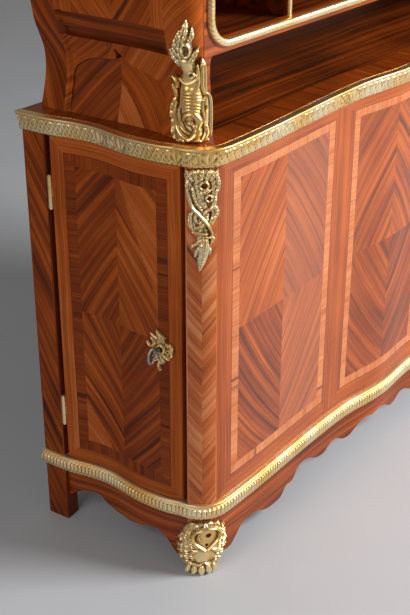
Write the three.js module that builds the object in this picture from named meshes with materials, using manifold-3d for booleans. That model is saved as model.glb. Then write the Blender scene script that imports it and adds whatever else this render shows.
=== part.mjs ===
// A serpentine desk filing cabinet: a low cabinet with a door at each end, and a pigeonhole case on it.
// Millimetres, +Z up. The front faces -Y, and the left end is at -X. Run with three and manifold-3d.

import * as THREE from 'three';
import { mergeVertices } from 'three/addons/utils/BufferGeometryUtils.js';
import Module from 'manifold-3d';

const wasm = await Module();
wasm.setup();

// Plan of the base, from the mirror plane outwards and from the corners' front face backwards
const frontHalf = 494;
const cornerRadius = 50;
const baseDepth = 343;
const valleyPlace = 120;
const valleyDepth = 19;
const centreSetback = 9.5;
const sideFlare = 42;
// run back along the side, and flare outwards, as shares
const sideFlareShares = [[0, 0], [0.09, 0.24], [0.25, 0.4], [0.37, 0.39], [0.5, 0.34], [0.64, 0.48],
  [0.81, 0.82], [1, 1]];

// Levels of the base
const legHeight = 116;
const bandHeight = 27;
const caseHeight = 610;
const topThick = 32;

// Base carcass
const panelThick = 22;
const postWidth = 44;
const postStart = 14;
const postEnd = 12;
const stileThick = 30;
const stileWidth = 44.5;
const backThick = 12;
const backInset = 6;
const bottomThick = 20;
const partitionThick = 20;
const shelfThick = 16;
const shelfHeight = 480;
const shelfSetIn = 6;
const panelJoint = 173;
const apronThick = 20;
const apronInset = 8;
const apronCentreHeight = 66;

// Doors
const doorGap = 8;
const doorStileGap = 10;
const doorThick = 22;
const doorClearLow = 2;
const doorClearHigh = 1.5;
const doorSlant = 0.06;

// Hinges
const hingeLength = 56;
const hingeInset = 42;
const knuckleRadius = 4;
const pinRadius = 1.7;
const pinHead = 2;
const pinHeadRadius = 3;
const hingeLeafThick = 1.6;
const hingeLeafWidth = 17;
const runningGap = 0.3;

// Lock, bolt and key
const keyHeight = 433;
const keySetback = 38;
const lockWidth = 60;
const lockHeight = 64;
const lockThick = 14;
const lockSunk = 10;
const lockBelowShare = 0.35;
const boltHeight = 20;
const boltThick = 6;
const boltLength = 32;
const boltLift = 17;
const boltInset = 1.6;
const boltPlay = 0.4;
const mortisePlay = 1;
const strikeHeight = 36;
const strikeWidth = 18;
const strikeThick = 1.5;
const strikeInset = 5;
const boltMortise = 10;
const shankRadius = 2.3;
const keyholeRadius = 4.5;
const keyOut = 16;
const bowHeight = 30;
const bowWidth = 24;
const bowThick = 4;
const bowBar = 4.5;
const bitRadius = 6;
const bitThick = 3;
const chamberRadius = 7.4;
const bitLength = 6;

// Gilt mounts of the base
const mouldingOut = 15;
const mouldingLip = 2;
// outwards and upwards from the moulding's foot to its top edge, then outwards and upwards over its lip
const mouldingShares = [[0.25, 0], [0.4, 0.12], [0.55, 0.4], [0.82, 0.68], [1, 0.86], [1, 1]];
const mouldingLipShares = [[0.75, 0.6], [0.4, 0.3]];
const bandOut = 11;
// outwards and upwards over the band
const bandShares = [[0.8, 0], [1, 0.15], [1, 0.45], [0.8, 0.62], [0.75, 0.8], [0.55, 0.95]];
const chuteTop = 8;
const chuteHeight = 168;
const chuteWidth = 48;
const chuteRelief = 9;
const sabotHeight = 106;
const sabotWidth = 96;
const sabotRelief = 20;
const escutcheonHeight = 74;
const escutcheonWidth = 50;
const escutcheonRelief = 7;
const mountEdge = 2.5;
const chuteFacets = 8;
const sabotFacets = 12;

// Upper section
const upperSideStep = 10;
const upperFrontHalf = frontHalf + upperSideStep;
const upperSetback = 33;
const upperCornerRadius = 22;
const facingThin = 8;
const upperCornerDepth = 36;
const upperFlare = 24;
const upperFlareStart = 110;
const upperBackInset = 13;
const upperBack = baseDepth - upperBackInset;
const upperWall = 22;
const supportHeight = 122;
const pigeonHeight = 332;
const upperFloorThick = 16;
const upperTopThick = 22;
const upperTopOut = 18;
// upwards and outwards round the top board's edge, and how much of the wall's swell it follows
const upperTopShares = [[0, 0.45], [0.3, 0.55], [0.55, 1], [0.9, 1], [1, 0.85]];
const upperTopSwellShare = 0.4;
const upperBackThick = 10;
const dividerCount = 4;
const dividerPitch = 192;
const dividerThick = 10;
const faceThick = 12;
const legWidth = 20;
const legInner = upperFrontHalf - legWidth;
const legWaist = 7;
const legShares = [0.4, 0.6, 0.8];
const openingHalf = legInner;
const openingSill = 19;
const openingHead = 44;
const openingRadius = 36;
const ringWidth = 13;
const ringThick = 7;
const recessThick = 9;
const recessLap = 10;
const fieldSink = 3.5;
const fieldPlay = 0.6;
const grooveHeight = 17;
const grooveLift = 1;
const grooveSink = 8;
// inwards and upwards round the groove
const grooveShares = [[0.3, 1], [0.9, 0.7], [0.9, 0.35], [0.2, 0]];
const grooveFront = 84;
const grooveBack = 271;
const channelWidth = 9;
const channelSink = 4;
const upperChuteHeight = 178;
const upperChuteWidth = 62;
const upperChuteRelief = 12;
// height over the base top, in shares of the whole upper height, and swell outwards in shares of wallSwell
const wallSwell = 14;
const wallSwellShares = [[0, 0.28], [0.055, -0.25], [0.12, -0.72], [0.2, -0.6], [0.245, -0.07], [0.285, 0.43],
  [0.355, 0.9], [0.46, 1.1], [0.62, 1.05], [0.82, 0.75], [1, 0.5]];
// the end wall's arch, as depth and height in shares of archWidth and archHeight, from its front foot
const archFront = 93;
const archWidth = 180;
const archHeight = 117;
const archMiddleShare = 0.5;
const archShares = [[0, 0], [0.02, 0.12], [0.01, 0.32], [0.03, 0.49], [0.07, 0.61], [0.21, 0.7], [0.36, 0.77],
  [0.45, 0.87], [0.52, 1], [0.53, 0.83], [0.67, 0.8], [0.82, 0.75], [0.97, 0.58], [0.99, 0.3], [1, 0]];

// Fits
const seat = 0.3;
const boardFit = 0.6;
const cutOver = 5;
const leastStep = 0.5;
const mountLift = 0.95;
const mountReach = 12;
const roundSides = 12;
const wallOutside = -upperFrontHalf - upperCornerRadius - upperFlare - wallSwell - cutOver;

const bandTop = legHeight + bandHeight;
const caseTop = bandTop + caseHeight;
const baseTop = caseTop + topThick;
const pigeonFloor = baseTop + supportHeight;
const upperTop = pigeonFloor + upperFloorThick + pigeonHeight;
const upperHeight = upperTop - baseTop;

// Outline helpers. An outline is a list of plan places from the mirror plane round the left corner to the back.

const ease = (u) => u * u * (3 - 2 * u);
const mix = (a, b, u) => a + (b - a) * u;

// The value of a table of shares at a place along it
function shareAt(shares, u) {
  const k = Math.max(1, shares.findIndex(([place]) => place >= u - 1e-9));
  const [a, b] = [shares[k - 1], shares[k]];
  return mix(a[1], b[1], (u - a[0]) / (b[0] - a[0]));
}

function outlineOf(places) {
  const line = places.map(([x, y]) => ({ x, y, run: 0 }));
  for (let i = 1; i < line.length; i++) {
    line[i].run = line[i - 1].run + Math.hypot(line[i].x - line[i - 1].x, line[i].y - line[i - 1].y);
  }
  line.forEach((p, i) => {
    const a = line[Math.max(i - 1, 0)];
    const b = line[Math.min(i + 1, line.length - 1)];
    const length = Math.hypot(b.x - a.x, b.y - a.y);
    p.nx = (a.y - b.y) / length;
    p.ny = (b.x - a.x) / length;
  });
  Object.assign(line[0], { nx: 0, ny: -1 });
  Object.assign(line.at(-1), { nx: -1, ny: 0 });
  return line;
}

function stationAt(line, run) {
  const i = Math.max(1, line.findIndex((p) => p.run >= run));
  const k = run > line.at(-1).run ? line.length - 1 : i;
  const u = (run - line[k - 1].run) / (line[k].run - line[k - 1].run);
  const [a, b] = [line[k - 1], line[k]];
  const nx = mix(a.nx, b.nx, u);
  const ny = mix(a.ny, b.ny, u);
  const length = Math.hypot(nx, ny);
  return { x: mix(a.x, b.x, u), y: mix(a.y, b.y, u), nx: nx / length, ny: ny / length, run };
}

// run where the outline first passes a distance from the mirror plane, or a depth
function runAtX(line, x) {
  const k = line.findIndex((p) => -p.x >= x);
  return mix(line[k - 1].run, line[k].run, (x + line[k - 1].x) / (line[k - 1].x - line[k].x));
}

function runAtY(line, y) {
  const k = line.findLastIndex((p) => p.y < y);
  return mix(line[k].run, line[k + 1].run, (y - line[k].y) / (line[k + 1].y - line[k].y));
}

// Stations stand at the outline's own points, so that pieces that touch share their facets
function stations(line, from, to) {
  const between = line.filter((p) => p.run > from + leastStep && p.run < to - leastStep);
  return [stationAt(line, from), ...between, stationAt(line, to)];
}

const flipped = ({ x, y, nx, ny, run }) => ({ x: -x, y, nx: -nx, ny, run });

// stations over both halves, from the right end to the left end
function wholeStations(line, to) {
  const left = stations(line, 0, to);
  return [...left.slice(1).reverse().map(flipped), ...left];
}

function baseOutline() {
  const places = [];
  const frontSteps = 16;
  const cornerSteps = 6;
  const sideSteps = 12;
  for (let i = 0; i <= frontSteps; i++) {
    const x = frontHalf * i / frontSteps;
    const y = x > valleyPlace
      ? valleyDepth * ease((frontHalf - x) / (frontHalf - valleyPlace))
      : mix(centreSetback, valleyDepth, ease(x / valleyPlace));
    places.push([-x, y]);
  }
  for (let i = 1; i <= cornerSteps; i++) {
    const a = (Math.PI / 2) * i / cornerSteps;
    places.push([-frontHalf - cornerRadius * Math.sin(a), cornerRadius * (1 - Math.cos(a))]);
  }
  const flare = new THREE.SplineCurve(sideFlareShares.map(([back, out]) => new THREE.Vector2(back, out)));
  flare.getPoints(sideSteps).slice(1).forEach((p) => {
    places.push([-frontHalf - cornerRadius - sideFlare * p.y, mix(cornerRadius, baseDepth, p.x)]);
  });
  return outlineOf(places);
}

function upperOutline() {
  const places = [[0, upperSetback]];
  const cornerSteps = 5;
  const sideSteps = 12;
  for (let i = 0; i <= cornerSteps; i++) {
    const a = (Math.PI / 2) * i / cornerSteps;
    places.push([-upperFrontHalf - upperCornerRadius * Math.sin(a),
      upperSetback + upperCornerDepth * (1 - Math.cos(a))]);
  }
  const start = upperSetback + upperCornerDepth;
  for (let i = 1; i <= sideSteps; i++) {
    const y = mix(start, upperBack, i / sideSteps);
    const u = Math.max(0, (y - upperFlareStart) / (upperBack - upperFlareStart));
    places.push([-upperFrontHalf - upperCornerRadius - upperFlare * ease(Math.min(1, u)), y]);
  }
  return outlineOf(places);
}

const base = baseOutline();
const upper = upperOutline();

// Solids

function closed(positions, indices) {
  let volume = 0;
  const corner = (i) => new THREE.Vector3(...positions[i]);
  for (let i = 0; i < indices.length; i += 3) {
    const [a, b, c] = [corner(indices[i]), corner(indices[i + 1]), corner(indices[i + 2])];
    volume += a.dot(b.cross(c));
  }
  const geometry = new THREE.BufferGeometry();
  geometry.setAttribute('position', new THREE.Float32BufferAttribute(positions.flat(), 3));
  geometry.setIndex(volume < 0 ? indices.slice().reverse() : indices);
  return geometry;
}

// Triangles that fill an outline, in the order of its points
function filled(outline) {
  const points = outline.map(([u, v]) => new THREE.Vector2(u, v));
  const faces = THREE.ShapeUtils.triangulateShape(points, []);
  return THREE.ShapeUtils.isClockWise(points) ? faces.map(([a, b, c]) => [a, c, b]) : faces;
}

// Rings of points skinned into a tube, closed at both ends with the same cap triangles
function skinned(rings, cap) {
  const count = rings[0].length;
  const last = (rings.length - 1) * count;
  const indices = [];
  for (let i = 0; i + 1 < rings.length; i++) {
    for (let j = 0; j < count; j++) {
      const a = i * count + j;
      const b = i * count + (j + 1) % count;
      indices.push(a, b, b + count, a, b + count, a + count);
    }
  }
  for (const [a, b, c] of cap) indices.push(a, c, b, a + last, b + last, c + last);
  return closed(rings.flat(), indices);
}

// A section of [outwards, height] points carried along stations; it may change from station to station
function carried(places, section) {
  const at = typeof section === 'function' ? section : () => section;
  const rings = places.map((s) => at(s).map(([out, z]) => [s.x + s.nx * out, s.y + s.ny * out, z]));
  return skinned(rings, filled(at(places[0])));
}

const slab = (outer, inner, low, high) => [[outer, low], [outer, high], [inner, high], [inner, low]];

// A flat board from its plan outline
function board(places, low, high) {
  const shape = new THREE.Shape(places.map(([x, y]) => new THREE.Vector2(x, y)));
  return new THREE.ExtrudeGeometry(shape, { depth: high - low, bevelEnabled: false }).translate(0, 0, low);
}

function boxBetween([x0, y0, z0], [x1, y1, z1]) {
  return new THREE.BoxGeometry(x1 - x0, y1 - y0, z1 - z0)
    .translate((x0 + x1) / 2, (y0 + y1) / 2, (z0 + z1) / 2);
}

// An outline drawn as seen from the front, given thickness backwards from a depth
function frontPlate(shape, front, thick) {
  const basis = new THREE.Matrix4().makeBasis(new THREE.Vector3(1, 0, 0), new THREE.Vector3(0, 0, 1),
    new THREE.Vector3(0, -1, 0));
  return new THREE.ExtrudeGeometry(shape, { depth: thick, bevelEnabled: false, curveSegments: 6 })
    .applyMatrix4(basis).translate(0, front + thick, 0);
}

// An outline drawn as depth and height, given thickness along X from a place
function sidePrism(shape, from, thick) {
  const basis = new THREE.Matrix4().makeBasis(new THREE.Vector3(0, 1, 0), new THREE.Vector3(0, 0, 1),
    new THREE.Vector3(1, 0, 0));
  return new THREE.ExtrudeGeometry(shape, { depth: thick, bevelEnabled: false, curveSegments: 4 })
    .applyMatrix4(basis).translate(from, 0, 0);
}

function body(geometry) {
  const plain = geometry.clone();
  plain.deleteAttribute('normal');
  plain.deleteAttribute('uv');
  const merged = mergeVertices(plain, 1e-4);
  const vertProperties = new Float32Array(merged.attributes.position.array);
  const triVerts = new Uint32Array(merged.index.array);
  return new wasm.Manifold(new wasm.Mesh({ numProp: 3, vertProperties, triVerts }));
}

function geometryOf(manifold) {
  const mesh = manifold.getMesh();
  const geometry = new THREE.BufferGeometry();
  geometry.setAttribute('position', new THREE.Float32BufferAttribute(mesh.vertProperties, 3));
  geometry.setIndex([...mesh.triVerts]);
  return geometry;
}

const cut = (from, ...tools) => geometryOf(tools.reduce((left, tool) => left.subtract(body(tool)), body(from)));
const join = (first, ...rest) => geometryOf(rest.reduce((whole, piece) => whole.add(body(piece)), body(first)));

// A cast mount bent round an outline, from its rows of shares, top to bottom: height, left, right and relief
function reliefPatch(line, middle, width, top, height, relief, rows, across, swellAt = () => 0) {
  const ring = [];
  const level = ([down]) => top - height * down;
  const edge = (row, j) => middle + width * mix(row[1], row[2], j / across);
  const place = (row, j, out) => {
    const s = stationAt(line, edge(row, j));
    const o = out + mountLift + swellAt(s, level(row));
    return [s.x + s.nx * o, s.y + s.ny * o, level(row)];
  };
  for (const row of rows) {
    const points = [];
    for (let j = 0; j <= across; j++) {
      const u = 2 * j / across - 1;
      points.push(place(row, j, mountEdge + relief * row[3] * (1 - u * u)));
    }
    for (let j = across; j >= 0; j--) points.push(place(row, j, 0));
    ring.push(points);
  }
  const strip = Array.from({ length: across }, (_, j) => [
    [j, j + 1, 2 * across - j],
    [j, 2 * across - j, 2 * across + 1 - j],
  ]);
  return skinned(ring, strip.flat());
}

// The mirror image of a left-hand geometry, for the right-hand end
function mirrored(geometry) {
  const flippedGeometry = geometry.clone();
  flippedGeometry.deleteAttribute('normal');
  flippedGeometry.deleteAttribute('uv');
  const whole = mergeVertices(flippedGeometry, 1e-4);
  whole.scale(-1, 1, 1);
  whole.setIndex([...whole.index.array].reverse());
  return whole;
}

// Materials
const veneer = new THREE.MeshStandardMaterial({ color: 0x9a4a1c, roughness: 0.35, metalness: 0 });
const darkVeneer = new THREE.MeshStandardMaterial({ color: 0x5a2614, roughness: 0.35, metalness: 0 });
const oak = new THREE.MeshStandardMaterial({ color: 0x8a6a44, roughness: 0.7, metalness: 0 });
const gilt = new THREE.MeshStandardMaterial({ color: 0xc9a45a, roughness: 0.35, metalness: 1 });
const steel = new THREE.MeshStandardMaterial({ color: 0x8c8c8c, roughness: 0.4, metalness: 1 });

const cabinet = new THREE.Group();
function add(name, geometry, material) {
  const mesh = new THREE.Mesh(geometry, material);
  mesh.name = name;
  cabinet.add(mesh);
}
function addPair(stem, geometry, material) {
  add(`${stem}_left`, geometry, material);
  add(`${stem}_right`, mirrored(geometry), material);
}

// Where the pieces of the base meet along its outline
const run = {
  joint: runAtX(base, panelJoint),
  postFront: runAtX(base, frontHalf) + postStart,
  postSide: runAtY(base, cornerRadius) - postEnd,
  back: base.at(-1).run,
};
run.doorFront = run.postSide + doorGap;
run.stile = run.back - stileWidth;
run.doorBack = run.stile - doorStileGap;
run.pin = run.stile - doorStileGap / 2;

const pin = stationAt(base, run.pin);
const lockCorner = stationAt(base, run.doorFront);

// The lock's own directions: v runs from the lock edge to the hinge pin, u inwards across it
const reach = Math.hypot(pin.x - lockCorner.x, pin.y - lockCorner.y);
const lockV = new THREE.Vector3((pin.x - lockCorner.x) / reach, (pin.y - lockCorner.y) / reach, 0);
const lockU = new THREE.Vector3(lockV.y, -lockV.x, 0);
const lockBasis = new THREE.Matrix4().makeBasis(lockU, lockV, new THREE.Vector3(0, 0, 1))
  .setPosition(lockCorner.x, lockCorner.y, 0);
const inLock = (low, high) => boxBetween(low, high).applyMatrix4(lockBasis);

// Base carcass

function boardPlaces(sideOut, frontOut, back) {
  const sideStart = runAtY(base, cornerRadius);
  const half = stations(base, 0, runAtY(base, back)).map((s) => {
    const out = s.run < sideStart ? frontOut : sideOut;
    return [s.x + s.nx * out, Math.min(s.y + s.ny * out, back)];
  });
  return [...half, ...half.slice(1).reverse().map(([x, y]) => [-x, y])];
}

function cornerPost() {
  const arc = stations(base, run.postFront, run.postSide);
  const first = arc[0];
  const last = arc.at(-1);
  const inward = (s, by) => [s.x - s.nx * by, s.y - s.ny * by];
  const places = [...arc.map((s) => [s.x, s.y]), inward(last, postWidth), inward(first, panelThick)];
  const [boltLow, boltHigh] = boltLevels();
  const mortise = inLock([boltDepth - mortisePlay, -doorGap - boltMortise - cutOver, boltLow - mortisePlay],
    [boltDepth + boltThick + mortisePlay, cutOver, boltHigh + mortisePlay]);
  return cut(board(places, 0, caseTop - seat), mortise);
}

const boltDepth = lockSunk + boltInset;

function boltLevels() {
  const middle = keyHeight + boltLift;
  return [middle - boltHeight / 2, middle + boltHeight / 2];
}

// The faces on either side of a door's hinges are parallel
const squared = (s) => Object.assign(s, { nx: pin.nx, ny: pin.ny });

function rearStile() {
  const places = stations(base, run.stile, run.back);
  squared(places[0]);
  return carried(places, slab(0, -stileThick, 0, caseTop - seat));
}

// how far from the mirror plane the rear stiles' inner faces stay, at their narrowest
const insideStiles = () => -(pin.x - pin.nx * stileThick) - boardFit;

function frontPanel(places) {
  return carried(places, slab(0, -panelThick, bandTop + seat, caseTop - seat));
}

// An apron's section, whose lower edge follows a table of run and height shares
function apronSection(edge, from, to) {
  return (s) => {
    const low = apronCentreHeight * shareAt(edge, (Math.abs(s.run) - from) / (to - from));
    return slab(-apronInset, -apronInset - apronThick, low, bandTop - bottomThick - seat);
  };
}

// heights of the front apron's scalloped edge, from the mirror plane to the corner post
const frontApronShares = [[0, 0.97], [0.06, 1.02], [0.1, 0.92], [0.145, 0.72], [0.18, 0.72], [0.23, 0.9],
  [0.265, 0.87], [0.3, 0.73], [0.36, 0.77], [0.41, 0.96], [0.455, 1.02], [0.49, 0.92], [0.515, 0.7],
  [0.565, 0.65], [0.59, 0.47], [0.635, 0.42], [0.69, 0.47], [0.76, 0.69], [0.81, 0.74], [0.845, 0.68],
  [0.875, 0.47], [0.9, 0.3], [0.95, 0.26], [1, 0.3]];
// heights of the side apron's edge, from the corner post to the rear stile
const sideApronShares = [[0, 0.2], [0.08, 0.26], [0.12, 0.45], [0.18, 0.75], [0.23, 0.88], [0.3, 0.9],
  [0.37, 0.8], [0.47, 0.7], [0.52, 0.68], [0.56, 0.72], [0.6, 0.7], [0.66, 0.79], [0.7, 0.88], [0.75, 1.05],
  [0.82, 1.09], [0.88, 1.05], [0.92, 0.97], [1, 0.78]];

function apronStations(edge, from, to) {
  return edge.map(([share]) => stationAt(base, mix(from, to, share)));
}

function frontApron() {
  const to = run.postFront - seat;
  const left = apronStations(frontApronShares, 0, to);
  const whole = [...left.slice(1).reverse().map(flipped), ...left];
  return carried(whole, apronSection(frontApronShares, 0, to));
}

function sideApron() {
  const from = run.postSide + seat;
  const to = run.stile - seat;
  return carried(apronStations(sideApronShares, from, to), apronSection(sideApronShares, from, to));
}

function bottomBoard() {
  const half = [...stations(base, 0, run.postFront - seat).map((s) => [s.x, s.y])];
  const inward = (at, by) => {
    const s = stationAt(base, at);
    return [s.x - s.nx * by, s.y - s.ny * by];
  };
  half.push(inward(run.postFront - seat, panelThick + seat), inward(run.postSide + seat, postWidth + seat));
  half.push(...stations(base, run.postSide + seat, run.stile - seat).map((s) => [s.x, s.y]));
  const frontOfStile = inward(run.stile - seat, 0);
  half.push([-insideStiles(), frontOfStile[1]], [-insideStiles(), baseDepth - backInset - backThick - seat]);
  const places = [...half, ...half.slice(1).reverse().map(([x, y]) => [-x, y])];
  return board(places, bandTop - bottomThick, bandTop);
}

function backPanel() {
  return boxBetween([-insideStiles(), baseDepth - backInset - backThick, bandTop - bottomThick],
    [insideStiles(), baseDepth - backInset, caseTop - seat]);
}

function partition() {
  const front = stationAt(base, runAtX(base, partitionThick / 2)).y + panelThick + seat;
  return boxBetween([-partitionThick / 2, front, bandTop + seat],
    [partitionThick / 2, baseDepth - backInset - backThick - seat, caseTop - seat]);
}

function shelf() {
  const front = stations(base, 0, run.postFront - shelfSetIn).slice(1)
    .map((s) => [s.x - s.nx * (panelThick + seat), s.y - s.ny * (panelThick + seat)]);
  const near = partitionThick / 2 + seat;
  const post = stationAt(base, run.postSide);
  const side = stations(base, run.postSide + postWidth / 2, run.stile - doorStileGap)
    .map((s) => [s.x - s.nx * (doorThick + shelfSetIn), s.y - s.ny * (doorThick + shelfSetIn)]);
  const back = baseDepth - backInset - backThick - seat;
  const places = [[-near, front[0][1]], ...front.filter(([x]) => x < -near),
    [front.at(-1)[0], post.y + postWidth / 2], ...side, [-insideStiles(), side.at(-1)[1] + seat],
    [-insideStiles(), back], [-near, back]];
  return board(places, shelfHeight, shelfHeight + shelfThick);
}

// Mouldings

function topMoulding() {
  const [low, high] = [caseTop + seat, baseTop];
  const face = mouldingShares.map(([out, up]) => [mouldingOut * out, mix(low, high, up)]);
  const lip = mouldingLipShares.map(([out, up]) => [mouldingOut * out, high + mouldingLip * up]);
  return carried(wholeStations(base, run.back), [[seat, low], ...face, ...lip, [seat, lip.at(-1)[1]]]);
}

function bandMoulding() {
  const face = bandShares.map(([out, up]) => [bandOut * out, mix(legHeight, bandTop, up)]);
  return carried(wholeStations(base, run.back), [[seat, legHeight], ...face, [seat, bandTop]]);
}

// Left door, in its own pieces

function doorLeaf() {
  const places = stations(base, run.doorFront, run.doorBack);
  const first = places[0];
  const slant = new THREE.Vector2(lockU.x, lockU.y).rotateAround(new THREE.Vector2(), doorSlant);
  first.nx = -slant.x;
  first.ny = -slant.y;
  squared(places.at(-1));
  const leaf = carried(places, slab(0, -doorThick, bandTop + doorClearLow, caseTop - doorClearHigh));
  return cut(leaf, lockPocket(), keyhole(keyholeRadius, -cutOver, doorThick + cutOver));
}

function lockPocket() {
  return inLock([lockSunk - seat, -cutOver, lockLow() - seat],
    [lockSunk + lockThick + cutOver, lockWidth + seat, lockLow() + lockHeight + seat]);
}

const lockLow = () => keyHeight - lockHeight * lockBelowShare;
const keyStation = () => stationAt(base, run.doorFront + keySetback);

// A round hole or bar on the key's axis, from a depth outside the leaf's face (negative) to a depth inside
function keyhole(radius, from, to) {
  const s = keyStation();
  const basis = new THREE.Matrix4().makeBasis(new THREE.Vector3(-s.ny, s.nx, 0), new THREE.Vector3(0, 0, 1),
    new THREE.Vector3(s.nx, s.ny, 0)).setPosition(s.x, s.y, keyHeight);
  return new THREE.CylinderGeometry(radius, radius, to - from, roundSides).rotateX(Math.PI / 2)
    .translate(0, 0, -(from + to) / 2).applyMatrix4(basis);
}

function lockCase() {
  const [boltLow, boltHigh] = boltLevels();
  const channel = inLock([boltDepth - boltPlay, -cutOver, boltLow - boltPlay],
    [boltDepth + boltThick + boltPlay, boltLength + seat, boltHigh + boltPlay]);
  const inside = lockSunk + lockThick;
  const box = inLock([lockSunk, lockEdgeSetback(), lockLow()], [inside, lockWidth, lockLow() + lockHeight]);
  const shankHole = keyhole(shankRadius + runningGap, -cutOver, inside);
  const chamber = keyhole(chamberRadius, inside - bitLength - runningGap, inside + cutOver);
  return cut(box, channel, shankHole, chamber);
}

const lockEdgeSetback = () => (lockSunk + lockThick) * Math.sin(doorSlant) + seat;

function lockBolt() {
  const [low, high] = boltLevels();
  return inLock([boltDepth, lockEdgeSetback(), low], [boltDepth + boltThick, boltLength, high]);
}

function strikePlate() {
  const s = stationAt(base, run.postSide);
  const basis = new THREE.Matrix4().makeBasis(new THREE.Vector3(-s.nx, -s.ny, 0),
    new THREE.Vector3(s.ny, -s.nx, 0), new THREE.Vector3(0, 0, 1)).setPosition(s.x, s.y, 0);
  const middle = keyHeight + boltLift;
  const plate = boxBetween([strikeInset, seat, middle - strikeHeight / 2],
    [strikeInset + strikeWidth, seat + strikeThick, middle + strikeHeight / 2]).applyMatrix4(basis);
  const [low, high] = boltLevels();
  const window = inLock([boltDepth - mortisePlay, -doorGap - cutOver, low - mortisePlay],
    [boltDepth + boltThick + mortisePlay, cutOver, high + mortisePlay]);
  return cut(plate, window);
}

function key() {
  const s = keyStation();
  const basis = new THREE.Matrix4().makeBasis(new THREE.Vector3(s.nx, s.ny, 0),
    new THREE.Vector3(-s.ny, s.nx, 0), new THREE.Vector3(0, 0, 1)).setPosition(s.x, s.y, keyHeight);
  const bowShape = new THREE.Shape();
  bowShape.absellipse(0, 0, bowWidth / 2, bowHeight / 2, 0, 2 * Math.PI);
  const eye = new THREE.Path();
  eye.absellipse(0, 0, bowWidth / 2 - bowBar, bowHeight / 2 - bowBar, 0, 2 * Math.PI, true);
  bowShape.holes.push(eye);
  const bow = new THREE.ExtrudeGeometry(bowShape, { depth: bowThick, bevelEnabled: false, curveSegments: 10 })
    .translate(0, 0, -bowThick / 2).rotateX(Math.PI / 2)
    .translate(keyOut + bowWidth / 2, 0, 0).applyMatrix4(basis);
  const end = lockSunk + lockThick - runningGap;
  const shank = keyhole(shankRadius, -keyOut - bowBar / 2, end);
  const bitFront = -end + bitLength - 2 * runningGap;
  const bit = boxBetween([-end, -bitThick / 2, -bitRadius], [bitFront, bitThick / 2, 0]).applyMatrix4(basis);
  return join(shank, bow, bit);
}

// Hinge pieces, drawn about their pin: u inwards, v towards the back
const hingeBasis = new THREE.Matrix4().makeBasis(new THREE.Vector3(-pin.nx, -pin.ny, 0),
  new THREE.Vector3(pin.ny, -pin.nx, 0), new THREE.Vector3(0, 0, 1));

function upright(radius, low, high) {
  return new THREE.CylinderGeometry(radius, radius, high - low, roundSides).rotateX(Math.PI / 2)
    .translate(0, 0, (low + high) / 2);
}

function hingeHalf(side, knuckles, middle) {
  const face = side * (doorStileGap / 2 - seat);
  const back = face - side * hingeLeafThick;
  const [v0, v1] = [Math.min(face, back), Math.max(face, back)];
  const plate = boxBetween([knuckleRadius + runningGap, v0, -hingeLength / 2],
    [knuckleRadius + hingeLeafWidth, v1, hingeLength / 2]);
  const barrels = knuckles.flatMap(([low, high]) => [upright(knuckleRadius, low, high),
    boxBetween([0, v0, low], [knuckleRadius + hingeLeafThick, v1, high])]);
  const bore = upright(pinRadius + runningGap, -hingeLength, hingeLength);
  return cut(join(plate, ...barrels), bore).applyMatrix4(hingeBasis).translate(pin.x, pin.y, middle);
}

function hinge(name, middle) {
  const third = hingeLength / 3;
  const half = third / 2;
  const frameKnuckles = [[half + runningGap / 2, hingeLength / 2], [-hingeLength / 2, -half - runningGap / 2]];
  addPair(`hinge_${name}_frame_leaf`, hingeHalf(1, frameKnuckles, middle), gilt);
  const doorKnuckle = [-half + runningGap / 2, half - runningGap / 2];
  addPair(`hinge_${name}_door_leaf`, hingeHalf(-1, [doorKnuckle], middle), gilt);
  const [shoulder, tip] = [hingeLength / 2 + runningGap, hingeLength / 2 + pinHead];
  const rod = upright(pinRadius, -tip, tip);
  const heads = [upright(pinHeadRadius, shoulder, tip), upright(pinHeadRadius, -tip, -shoulder)];
  addPair(`hinge_${name}_pin`, join(rod, ...heads).translate(pin.x, pin.y, middle), gilt);
}

// The cast mounts, row by row: height from the top, left edge, right edge and relief
const chuteShares = [[0, -0.3, 0.36, 0.4], [0.06, -0.46, 0.42, 0.7], [0.16, -0.5, 0.5, 0.9],
  [0.27, -0.42, 0.5, 1], [0.36, -0.46, 0.44, 0.8], [0.48, -0.5, 0.3, 0.9], [0.58, -0.3, 0.24, 0.7],
  [0.66, -0.26, 0.34, 0.7], [0.76, -0.36, 0.3, 0.8], [0.87, -0.24, 0.16, 0.6], [0.96, -0.1, 0.1, 0.4],
  [1, -0.04, 0.04, 0.2]];
const sabotShares = [[0, -0.24, 0.22, 0.25], [0.1, -0.36, 0.32, 0.5], [0.24, -0.47, 0.42, 0.6],
  [0.4, -0.47, 0.47, 0.75], [0.56, -0.5, 0.5, 0.7], [0.72, -0.42, 0.45, 0.6], [0.84, -0.46, 0.5, 0.8],
  [0.95, -0.5, 0.52, 1], [1, -0.46, 0.48, 0.9]];
const escutcheonShares = [[0, -0.08, 0.04, 0.2], [0.1, -0.32, 0.16, 0.6], [0.24, -0.46, 0.3, 0.9],
  [0.38, -0.36, 0.5, 1], [0.52, -0.42, 0.5, 1], [0.66, -0.3, 0.46, 0.9], [0.8, -0.22, 0.3, 0.7],
  [0.92, -0.16, 0.12, 0.5], [1, -0.1, 0.06, 0.3]];
const upperChuteShares = [[0, -0.08, 0.06, 0.2], [0.08, -0.22, 0.14, 0.5], [0.18, -0.34, 0.22, 0.7],
  [0.28, -0.3, 0.32, 0.9], [0.4, -0.2, 0.44, 0.9], [0.52, -0.42, 0.4, 0.9], [0.64, -0.36, 0.46, 0.8],
  [0.76, -0.46, 0.5, 0.9], [0.88, -0.36, 0.5, 1], [0.97, -0.24, 0.48, 1], [1, -0.2, 0.44, 0.9]];

// Upper section

// how far the end wall swells out at a level; the front face stays upright
function swell(s, z) {
  const facing = Math.min(1, Math.max(0, -s.nx));
  return wallSwell * facing * facing * shareAt(wallSwellShares, (z - baseTop) / upperHeight);
}

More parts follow.
